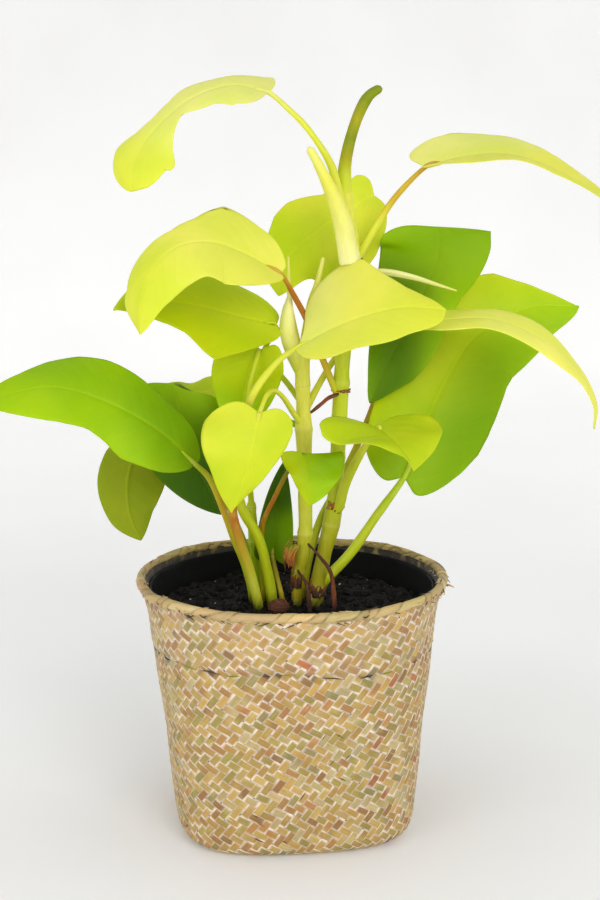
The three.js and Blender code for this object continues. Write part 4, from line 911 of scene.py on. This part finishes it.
# Shades of the straw and how often they come
STRIP_TINTS = (
    ((198, 164, 84), 0.30), ((168, 148, 66), 0.22), ((184, 144, 66), 0.18), ((182, 132, 66), 0.10),
    ((156, 112, 54), 0.07), ((196, 176, 120), 0.12), ((180, 106, 54), 0.02), ((156, 142, 84), 0.03),
)
CREASE_AT = 123.0
SLOPE_DOWN = math.radians(-30)
SLOPE_UP = math.radians(52)
DOWN_STRIPS = 60
UP_STRIPS = 96
STRIP_THICK = 0.42
STRIP_LIFT = 0.42
STRIP_STEP = 1.45
# Corners of a strip's section: places across it from -1 to 1, and how far below its top
SECTION = ((-1.0, 0), (-0.86, 0), (0.0, 0), (0.86, 0), (1.0, 0), (0.96, STRIP_THICK), (-0.96, STRIP_THICK))


def wall_point(angle, run, out):
    """Point of the basket's wall at an angle round it, run millimetres up its outline from the foot,
    and out millimetres proud of it."""
    run = np.clip(run, 0, WALL_RUN)
    radius, height = (np.interp(run, WALL_RUNS, WALL_POINTS[:, k]) for k in range(2))
    rise_r, rise_z = (np.interp(run, WALL_RUNS, WALL_SLOPE[:, k]) for k in range(2))
    square = 2 + BASKET_SQUARENESS * np.maximum(1 - height / BASKET_ROUND_AT, 0)
    turned = angle - BASKET_TURN
    total = np.abs(np.cos(turned)) ** square + np.abs(np.sin(turned)) ** square
    reach = radius / total ** (1 / square) + out * rise_z
    height = np.maximum(height - out * rise_r, 0.1)
    return np.stack([reach * np.cos(angle), reach * np.sin(angle), height], axis=-1)


def crease_at(angle):
    return CREASE_AT + 1.6 * np.sin(3 * angle + 1) + 1.1 * np.sin(7 * angle)


def wall_lie(angle, run):
    """Small dents and the crease under the rim, as a distance out from the plain wall."""
    crease = crease_at(angle)
    nearer = 0.6 + 0.4 * np.cos(angle + 2.2)
    dent = -0.95 * nearer * np.exp(-(((run - crease) / 2.2) ** 2)) * (0.7 + 0.3 * np.sin(11 * angle))
    band = 0.8 * nearer / (1 + np.exp(-(run - crease) / 0.8))
    return dent + band + 0.35 * np.sin(5 * angle + run / 21) * np.sin(run / 17 + 2 * angle)


def strip_tints(count):
    colors = np.array([linear(color) for color, _ in STRIP_TINTS])
    weights = np.array([weight for _, weight in STRIP_TINTS])
    picks = rng.choice(len(colors), count, p=weights / weights.sum())
    return colors[picks] * rng.uniform(0.74, 0.99, (count, 1)) * rng.uniform(0.96, 1.04, (count, 3))


def strip_way(slope, count):
    """Direction of a set of strips on the unrolled wall, the direction across them and their width."""
    run = np.array([math.cos(slope), math.sin(slope)])
    return run, np.array([-math.sin(slope), math.cos(slope)]), GIRTH * abs(math.sin(slope)) / count


def weave(name, slope, count, other_slope, other_count, over_first):
    """One of the two sets of strips of the twill. slope is its run's angle to the horizontal."""
    run, normal, width = strip_way(slope, count)
    _, other_normal, other_width = strip_way(other_slope, other_count)
    mesh = Mesh()
    floats = 64
    tints = strip_tints(count * floats).reshape(count, floats, 3)
    ends = strip_tints(count * floats).reshape(count, floats, 3)
    fade = (rng.random((count, floats)) < 0.5) * rng.uniform(0.3, 1.0, (count, floats))
    narrow = rng.uniform(0.9, 0.97, count)
    shift = rng.uniform(-0.25, 0.25, (count, 2))
    for index in range(count):
        offset = (index + 0.5) * width
        low, high = sorted([(0 - offset * normal[1]) / run[1], (WALL_RUN - offset * normal[1]) / run[1]])
        steps = int((high - low) / STRIP_STEP)
        s = np.linspace(low, high, steps + 1)
        u = offset * normal[0] + s * run[0]
        v = offset * normal[1] + s * run[1]
        crossed = index + (u * other_normal[0] + v * other_normal[1]) / other_width
        crossing = crossed % 4
        part = np.floor(crossed / 4).astype(int) % floats
        lift = STRIP_LIFT * np.clip(1.9 * np.sin(np.pi * crossing / 2) * (1 if over_first else -1), -1, 1)
        over = (crossing if over_first else crossing - 2) / 2
        near_end = np.clip(np.minimum(over, 1 - over) * 2, 0, 1)
        mix = (fade[index][part] * np.clip(over, 0, 1) ** 1.5)[:, None]
        tint = tints[index][part] * (1 - mix) + ends[index][part] * mix
        rings, pales, lays = [], [], []
        spread = width / 2 * narrow[index]
        wander = 0.35 * np.sin(s / 19 + shift[index][0] * 20) + shift[index][1] * 0.8
        for x, sink in SECTION:
            across = x * spread + wander
            uu, vv = u + across * normal[0], v + across * normal[1]
            angle = uu / REF_RADIUS - math.pi / 2
            bend_u = 0.9 * np.sin(4 * angle + vv / 31) + 0.6 * np.sin(9 * angle - vv / 13)
            bend_v = 0.8 * np.sin(5 * angle + vv / 27 + 1)
            bend_v = bend_v * np.clip(np.minimum(vv, WALL_RUN - vv) / 8, 0, 1)
            angle = angle + bend_u / REF_RADIUS
            up = vv + bend_v
            crown = 0 if sink else 0.14 * (1 - x * x)
            rings.append(wall_point(angle, up, lift + crown - sink + wall_lie(angle, up)))
            past_crease = up - crease_at(angle)
            nearer = np.cos(angle + 2.2)
            # Painted shade: the tint darkens in a broken line along the crease, more on the front left.
            if x == 0:
                broken = np.sin(11 * angle + 0.5) + np.sin(17 * angle) + np.sin(29 * angle) > 0.3
                shade = broken * (0.55 + 0.4 * nearer) * np.exp(-((past_crease / 1.3) ** 2))
                tint = tint * (1 - shade)[:, None]
            band = np.clip(past_crease / 2, 0, 1) * (0.5 + 0.5 * nearer)
            edge = 1.0 if abs(x) > 0.95 else 0.03 + 0.06 * band * (abs(x) > 0.5)
            tip = 1 - np.clip((near_end - 0.02 - 0.03 * band) / 0.08, 0, 1)
            low_wash = 0.07 * band * fade[index][part]
            pales.append(np.clip(np.maximum(edge, tip) + low_wash + (0.6 if sink else 0), 0, 1))
            lays.append(np.stack([x * 1.6 + index * 3.7 + 0 * s, s * 0.10, 0 * s], axis=1))
        sides = len(rings)
        base = np.arange(steps)[:, None] * sides
        k = np.arange(sides)[None, :]
        after = (k + 1) % sides
        faces = np.stack([base + k, base + k + sides, base + after + sides, base + after], axis=-1)
        faces = faces.reshape(-1, 4).tolist()
        faces.append(list(range(sides)))
        faces.append(list(range(steps * sides + sides - 1, steps * sides - 1, -1)))
        if slope > 0:
            faces = [face[::-1] for face in faces]
        mesh.add(np.stack(rings, axis=1), faces, tone=with_alpha(np.repeat(tint, sides, axis=0)),
                 pale=np.stack(pales, axis=1).ravel(), lay=np.stack(lays, axis=1).reshape(-1, 3))
    mesh.make(name, [STRAW], "basket_body", "straw_weave")


def lining():
    """Closed wall and floor behind the strips."""
    sides = 144
    angle = np.linspace(0, 2 * np.pi, sides, endpoint=False)

    def wall(run, out):
        return wall_point(angle, np.full(sides, run), out)

    runs = np.linspace(1.0, WALL_RUN - 0.3, 60)
    outer = [wall(run, wall_lie(angle, np.full(sides, run)) - 0.75) for run in runs]
    outer[0][:, 2] = 0.55
    inner = [wall(run, np.full(sides, -2.65)) for run in np.linspace(WALL_RUN - 0.3, 9, 30)]
    rings = [ring(angle, 61, 0.55) * [0.9, 0.9, 1], *outer, *inner, ring(angle, 65, 2.2)]
    points, faces = closed_rings(rings, (0, 0, 0.55), (0, 0, 2.2))
    # The inside of the lining and its top above 146 mm get a dark tone and no wash: painted shade in the gap
    # under the rim.
    shaded_dark = (np.arange(len(points)) >= (len(outer) + 1) * sides) | (points[:, 2] > 146)
    tint = np.where(shaded_dark[:, None], linear((40, 30, 20)), linear((134, 106, 70)))
    mesh = Mesh()
    mesh.add(points, faces, tone=with_alpha(tint), pale=np.where(shaded_dark, 0.0, 0.3),
             lay=points * [0.3, 0.3, 0.05])
    mesh.make("basket_lining", [STRAW], "basket_body", "straw_weave")


def crease_shade_and_splinters():
    """Dark slivers laid along the crease as painted shade, and splinters that stand off the strips."""
    mesh = Mesh()

    def sliver(angle, run, reach, slope, thick, name):
        along = np.linspace(0, 1, 5) * reach
        angles = angle + along * math.cos(slope) / REF_RADIUS
        runs = run(angles) + along * math.sin(slope)
        points = wall_point(angles, runs, wall_lie(angles, runs) + STRIP_LIFT + 0.15)
        radii = (0.3 * thick, thick, 0.8 * thick, 0.3 * thick)
        tube(mesh, points, radii, 8, 5, (name,), rough=0, blunt=(0, 0))

    def in_crease(angles):
        return crease_at(angles) - 0.2 + 0.5 * np.sin(23 * angles)

    # Dark slivers along the crease stand for its shadow: painted shade.
    angle = -math.pi
    while angle < math.pi:
        reach = rng.uniform(2.5, 13)
        sliver(angle, in_crease, reach, 0, rng.uniform(0.25, 0.6),
               ("soot", "brown", "soot", "moss")[rng.integers(4)])
        angle += (reach + rng.uniform(1, 16)) / REF_RADIUS
    for _ in range(90):
        start = rng.uniform(8, 142)
        slope = (SLOPE_DOWN, SLOPE_UP)[rng.integers(2)] + rng.uniform(-0.15, 0.15)
        sliver(rng.uniform(-math.pi, math.pi), lambda a: np.full_like(a, start), rng.uniform(2.5, 7), slope,
               rng.uniform(0.15, 0.38), ("rust", "straw", "brown", "cream")[rng.integers(4)])
    mesh.make("crease_shade_and_splinters", [STRAW], "basket_body", "straw_weave")


weave("strips_down", SLOPE_DOWN, DOWN_STRIPS, SLOPE_UP, UP_STRIPS, True)
weave("strips_up", SLOPE_UP, UP_STRIPS, SLOPE_DOWN, DOWN_STRIPS, False)
lining()
crease_shade_and_splinters()

RIM_RADIUS = 92
RIM_HEIGHT = 151.8
RIM_ROLL = 2.6
RIM_WRAPS = 46
FRAYS = 230


def rim():
    """Rolled edge, wound with straw, with frayed ends."""
    steps, sides = 1104, 18
    angle = np.linspace(0, 2 * np.pi, steps, endpoint=False)[:, None]
    turn = np.linspace(0, 2 * np.pi, sides, endpoint=False)[None, :] - 0.75 * np.pi
    uneven = 0.4 * np.sin(5 * angle) + 0.3 * np.sin(13 * angle + 1) + 0.25 * np.sin(23 * angle)
    lean = rng.uniform(-1, 1, RIM_WRAPS)
    wrap = RIM_WRAPS * (angle / (2 * np.pi)) - 2 * turn / (2 * np.pi) + uneven + 4
    part = np.floor(wrap)
    place = wrap - part
    which = part.astype(int) % RIM_WRAPS
    swell = 0.45 * np.minimum(np.minimum(place / 0.12, (1 - place) / 0.2), 1) ** 0.6 + 0.35 * lean[which] - 0.2
    roll = RIM_ROLL + swell + 0.12 * np.sin(3 * angle + 2)
    centre_r = RIM_RADIUS + 0.5 * np.sin(2 * angle + 1) + 0.25 * np.sin(9 * angle)
    height = RIM_HEIGHT + 0.5 * np.sin(3 * angle) + 0.3 * np.sin(8 * angle + 1)
    reach = centre_r + roll * np.cos(turn)
    points = np.stack([reach * np.cos(angle), reach * np.sin(angle), height + roll * np.sin(turn)], axis=-1)
    tints = strip_tints(RIM_WRAPS + 8)
    tints = (0.5 * tints + 0.5 * linear((232, 208, 156))) * rng.uniform(0.68, 1.18, (RIM_WRAPS + 8, 1))
    far = np.clip(np.sin(angle) * 1.5, 0, 1)[..., None] * (0.7 + 0.3 * np.sin(31 * angle + 5 * turn))[..., None]
    tint = tints[which] * (1 - far * np.array([0.26, 0.28, 0.62]))
    depth = rng.uniform(0.45, 1.0, RIM_WRAPS)[which]
    joint = np.exp(-((place / 0.11) ** 2)) + 0.6 * np.exp(-(((1 - place) / 0.05) ** 2))
    joint = np.clip(joint * (0.75 + 0.4 * np.sin(3 * turn + part)), 0, 1)
    tint = tint * (1 - 0.95 * depth * joint)[..., None]
    a = np.arange(steps * sides).reshape(steps, sides)
    b, c = np.roll(a, -1, axis=0), np.roll(a, -1, axis=1)
    faces = np.stack([a, b, np.roll(b, -1, axis=1), c], axis=-1).reshape(-1, 4).tolist()
    lay = np.stack([place * 9 + part * 3.1, 0.8 * turn + 0 * angle, 0 * place], axis=-1)
    mesh = Mesh()
    mesh.add(points, faces, tone=with_alpha(tint), pale=np.zeros(steps * sides), lay=lay.reshape(-1, 3))
    for fray in range(FRAYS):
        at = rng.uniform(0, 2 * np.pi)
        side = rng.choice((rng.uniform(-1.5, 0.2), rng.uniform(1.6, 3.6)))
        length = rng.uniform(1.8, 7)
        lean = rng.uniform(-1.2, 1.2)
        path = []
        for k in range(4):
            along = k / 3 * length
            out = 2.7 + along * 0.28
            r = RIM_RADIUS + out * math.cos(side) + 0.2
            theta = at + math.copysign(along, lean) * 0.85 / RIM_RADIUS
            z = RIM_HEIGHT + out * math.sin(side) - 0.12 * along
            path.append((r * math.cos(theta), r * math.sin(theta), z))
        name = ("brown", "straw", "straw", "soot")[fray % 4]
        tube(mesh, path, (0.36, 0.3, 0.14), 8, 5, (name,), rough=0, blunt=(0, 0))
    loose_end = ((93.4, -12, 150), (95.5, -12.3, 149.6), (98.5, -13, 148.4))
    tube(mesh, loose_end, (0.7, 0.6, 0.35), 8, 6, ("rust", "straw"), blunt=(0, 0))
    mesh.make("rim_wound", [STRAW], "basket_rim", "straw_rim")


rim()

# Nursery pot, its outline as radii and heights above its foot

POT_FOOT = 2.5
POT_FLOOR = 1.6
POT_OUTLINE = (
    (59.5, 0.0), (60.8, 0.25), (62.4, 1.4), (63, 3), (82.6, 128), (83.3, 131), (84.8, 136), (86.9, 142.8),
    (87.3, 143.4), (87.5, 144.4), (87.4, 145.3), (86.9, 145.8), (86.3, 145.9), (85.8, 145.4), (85.6, 143.5),
    (83.3, 136), (81.4, 128), (61.8, 3.2), (60.3, 1.7),
)


def pot():
    angle = np.linspace(0, 2 * np.pi, 160, endpoint=False)
    wobble = 0.35 * np.sin(2 * angle + 0.5)
    rings = [ring(angle, r + wobble * (z > 100), z + POT_FOOT) for r, z in POT_OUTLINE]
    mesh = Mesh()
    mesh.add(*closed_rings(rings, (0, 0, POT_FOOT), (0, 0, POT_FOOT + POT_FLOOR)))
    mesh.make("pot_smooth", [PLASTIC], "nursery_pot", "black_plastic")


pot()

# Soil, crumbs and bark

SOIL_LEVEL = 133
SOIL_RADIUS = 80.8
SOIL_FOOT = 4.5
PILE = 6.5
SOIL_TABLE = rng.random((97, 97))


def lattice_noise(x, y, size):
    """Smooth noise of two coordinates, from a table of random values at lattice points."""
    x, y = x / size + 50, y / size + 50
    i, j = np.floor(x).astype(int), np.floor(y).astype(int)
    fx, fy = x - i, y - j
    fx, fy = fx * fx * (3 - 2 * fx), fy * fy * (3 - 2 * fy)
    n = len(SOIL_TABLE)
    i, j, k, m = i % n, j % n, (i + 1) % n, (j + 1) % n
    low = SOIL_TABLE[i, j] * (1 - fx) + SOIL_TABLE[k, j] * fx
    high = SOIL_TABLE[i, m] * (1 - fx) + SOIL_TABLE[k, m] * fx
    return low * (1 - fy) + high * fy


def soil_height(x, y):
    hills = np.sin(0.11 * x + 0.7) * np.cos(0.09 * y - 0.4) + 0.6 * np.sin(0.23 * (x - y))
    sizes = ((9, 2.4), (3.6, 1.5), (1.5, 0.8))
    rough = sum(height * (lattice_noise(x, y, size) - 0.5) for size, height in sizes)
    return SOIL_LEVEL + 1.1 * hills + rough


# A crumb is a dented icosahedron
GOLDEN = (1 + math.sqrt(5)) / 2
LUMP = unit(np.array([(a * x, b * y, c * z) for x, y, z in ((0, 1, GOLDEN), (1, GOLDEN, 0), (GOLDEN, 0, 1))
                      for a in (1, -1) for b in (1, -1) for c in (1, -1)], float))
LUMP = np.unique(LUMP.round(6), axis=0)
LUMP_EDGE = 1.2


def lump_faces():
    near = np.linalg.norm(LUMP[:, None] - LUMP[None], axis=2) < LUMP_EDGE
    faces = []
    for i in range(12):
        for j in range(i + 1, 12):
            for k in range(j + 1, 12):
                if near[i, j] and near[j, k] and near[i, k]:
                    flip = np.dot(np.cross(LUMP[j] - LUMP[i], LUMP[k] - LUMP[i]), LUMP[i]) < 0
                    faces.append([i, k, j] if flip else [i, j, k])
    return faces


LUMP_FACES = lump_faces()


def scatter(mesh, count, small, large, sink, slot, around=None):
    """Crumbs all over the soil, or in a small pile around a stem's or stalk's foot."""
    for _ in range(count):
        radius = math.sqrt(rng.uniform(0, 1)) * (PILE if around else SOIL_RADIUS - 2)
        angle = rng.uniform(0, 2 * np.pi)
        x, y = radius * math.cos(angle), radius * math.sin(angle)
        if around:
            x, y = x + around[0], y + around[1]
        size = small + (large - small) * rng.random() ** 3
        shape = LUMP * rng.uniform(0.7, 1.25, (12, 1)) * rng.uniform(0.55, 1.2, 3) * size
        z = float(soil_height(np.array(x), np.array(y))) + size * sink
        mesh.add(shape + [x, y, z], LUMP_FACES, slot)


def soil():
    rows, sides = 74, 190
    radius = np.linspace(0, 1, rows + 1)[1:, None] ** 0.8 * SOIL_RADIUS
    angle = np.linspace(0, 2 * np.pi, sides, endpoint=False)
    x, y = radius * np.cos(angle), radius * np.sin(angle)
    top = np.stack([x, y, soil_height(x, y)], axis=-1)
    wall = [ring(angle, r, z) for r, z in ((SOIL_RADIUS - 1, 120), (61, 6.5), (59, SOIL_FOOT))]
    peak = float(soil_height(np.array(0.0), np.array(0.0)))
    mesh = Mesh()
    mesh.add(*closed_rings([*top, *wall][::-1], (0, 0, SOIL_FOOT), (0, 0, peak)))
    mesh.make("soil_top", [SOIL], "soil", "potting_soil")
    crumbs = Mesh()
    scatter(crumbs, 1500, 0.5, 3.4, 0.25, 0)
    scatter(crumbs, 90, 0.25, 0.75, 0.6, 1)
    feet = [leaf["stalk"][0] for leaf in LEAVES.values()] + [stem["points"][0] for stem in STEMS.values()]
    for foot in feet:
        if foot[2] < SOIL_LEVEL:
            scatter(crumbs, 26, 0.7, 2.6, 0.5, 0, foot)
    crumbs.make("soil_crumbs", [SOIL, SPECK], "soil", "potting_soil", smooth=False)


soil()

BARK_PLACE = np.array([-8, -14, SOIL_LEVEL + 3.5])
BARK_HALF = np.array([6.9, 5.4, 4.5])
BARK_TURN = 0.5


def bark():
    """Lump of reddish bark: layered, splintered along its length."""
    rows, sides = 26, 30
    up = np.linspace(0, np.pi, rows + 1)[1:-1, None]
    around = np.linspace(0, 2 * np.pi, sides, endpoint=False)[None, :]
    x, y, z = np.sin(up) * np.cos(around), np.sin(up) * np.sin(around), -np.cos(up) + 0 * around
    ridges = 1 + 0.07 * np.sin(9 * around + 2 * z) + 0.05 * np.sin(17 * z + 3 * x) + 0.04 * np.sin(23 * y)
    shape = np.stack([x, y, z], axis=-1) * BARK_HALF * ridges[..., None]
    c, s = math.cos(BARK_TURN), math.sin(BARK_TURN)
    rings = shape @ np.array([[c, s, 0], [-s, c, 0], [0, 0, 1]]) + BARK_PLACE
    pole = BARK_HALF * [0, 0, 1]
    points, faces = closed_rings(rings, BARK_PLACE - pole, BARK_PLACE + pole)
    mesh = Mesh()
    tint = np.tile(linear((104, 56, 34)), (len(points), 1))
    mesh.add(points, faces, tone=with_alpha(tint), lay=points * [0.5, 0.5, 1.6])
    mesh.make("bark_rough", [BARK], "bark_piece", "bark")


bark()

# Floor, light and camera, in metres

FLOOR_TURN_RADIUS = 0.8
FLOOR_FLAT = 2.2
FLOOR_WALL_TOP = 1.8
# Extra glow of the floor by the distance along it, so that the far floor is as pale as a wall
FLOOR_GLOW_AT = (0.4, 1.2, 2.2, 2.6, 3.0, 3.8, 4.8)
FLOOR_GLOW = (0.1, 0.9, 1.3, 1.4, 1.0, 0.1, 0)
# At the middle the glow dips: a painted shadow under the basket.
FLOOR_GLOW_SHADOW_MIDDLE = -0.9


def put(name, data):
    made = bpy.data.objects.new(name, data)
    bpy.context.scene.collection.objects.link(made)
    return made


def floor():
    """Round pale floor that turns up into a low wall far away, so that no edge shows."""
    sides = 96
    angle = np.linspace(0, 2 * np.pi, sides, endpoint=False)
    outline = [(0.4, 0), (1.2, 0), (FLOOR_FLAT, 0)]
    outline += [(FLOOR_FLAT + FLOOR_TURN_RADIUS * math.sin(a), FLOOR_TURN_RADIUS * (1 - math.cos(a)))
                for a in np.linspace(0.15, math.pi / 2, 10)]
    outline += [(FLOOR_FLAT + FLOOR_TURN_RADIUS, FLOOR_WALL_TOP)]
    points = np.concatenate([*[ring(angle, r, z) for r, z in outline], [[0, 0, 0]]])
    faces = [face[::-1] for face in ring_faces(len(outline) - 1, sides)]
    faces += [[len(points) - 1, side, (side + 1) % sides] for side in range(sides)]
    mesh = bpy.data.meshes.new("floor")
    mesh.from_pydata(points.tolist(), [], faces)
    mesh.polygons.foreach_set("use_smooth", [True] * len(mesh.polygons))
    # The floor's glow goes in the value named wall; it dips at the middle as a painted shadow under the basket.
    reach = np.hypot(points[:-1, 0], points[:-1, 1]) + points[:-1, 2]
    glow = np.append(np.interp(reach, FLOOR_GLOW_AT, FLOOR_GLOW), FLOOR_GLOW_SHADOW_MIDDLE)
    mesh.attributes.new("wall", "FLOAT", "POINT").data.foreach_set("value", glow)
    n = Nodes("floor_paint")
    cloud = n.smooth(n.noise(n.place, 3.0, 4.0), 0.3, 0.7)
    color = n.mix(cloud, (0.80, 0.795, 0.785), (0.84, 0.838, 0.83))
    normal = n.bump(n.noise(n.place, 300.0), 0.05, 0.0005)
    mesh.materials.append(n.finish(color, 0.75, normal, Emission_Color=(1.0, 0.99, 0.97, 1)))
    n.put(n.shader.inputs["Emission Strength"], n.math("MULTIPLY_ADD", n.attribute("wall"), 0.14, 0.2))
    put("floor", mesh)


LAMP_AIM = (0, 0, 0.25)


def lamp(name, place, size, power):
    """Round soft lamp that faces the middle of the plant."""
    data = bpy.data.lights.new(name, "AREA")
    data.shape = "DISK"
    data.size = size
    data.energy = power
    made = put(name, data)
    made.location = place
    x, y, z = np.array(place) - LAMP_AIM
    made.rotation_euler = (math.atan2(math.hypot(x, y), z), 0, math.atan2(x, -y))


floor()
lamp("key", (0.7, -1.6, 1.1), 1.1, 13)
lamp("fill", (-1.2, -1.3, 0.7), 1.2, 6.5)
lamp("top", (0.0, 0.2, 1.9), 1.4, 3)

world = bpy.data.worlds.new("studio")
world.use_nodes = True
background = world.node_tree.nodes["Background"].inputs
background["Color"].default_value = (0.95, 0.97, 1.0, 1)
background["Strength"].default_value = 0.5
scene = bpy.context.scene
scene.world = world
scene.view_settings.view_transform = "Standard"

camera_data = bpy.data.cameras.new("camera")
camera_data.lens = 60
camera_data.sensor_width = 36
scene.camera = put("camera", camera_data)
scene.camera.location = (0.005, -0.892, 0.396)
scene.camera.rotation_euler = (math.radians(79.5), 0, 0)
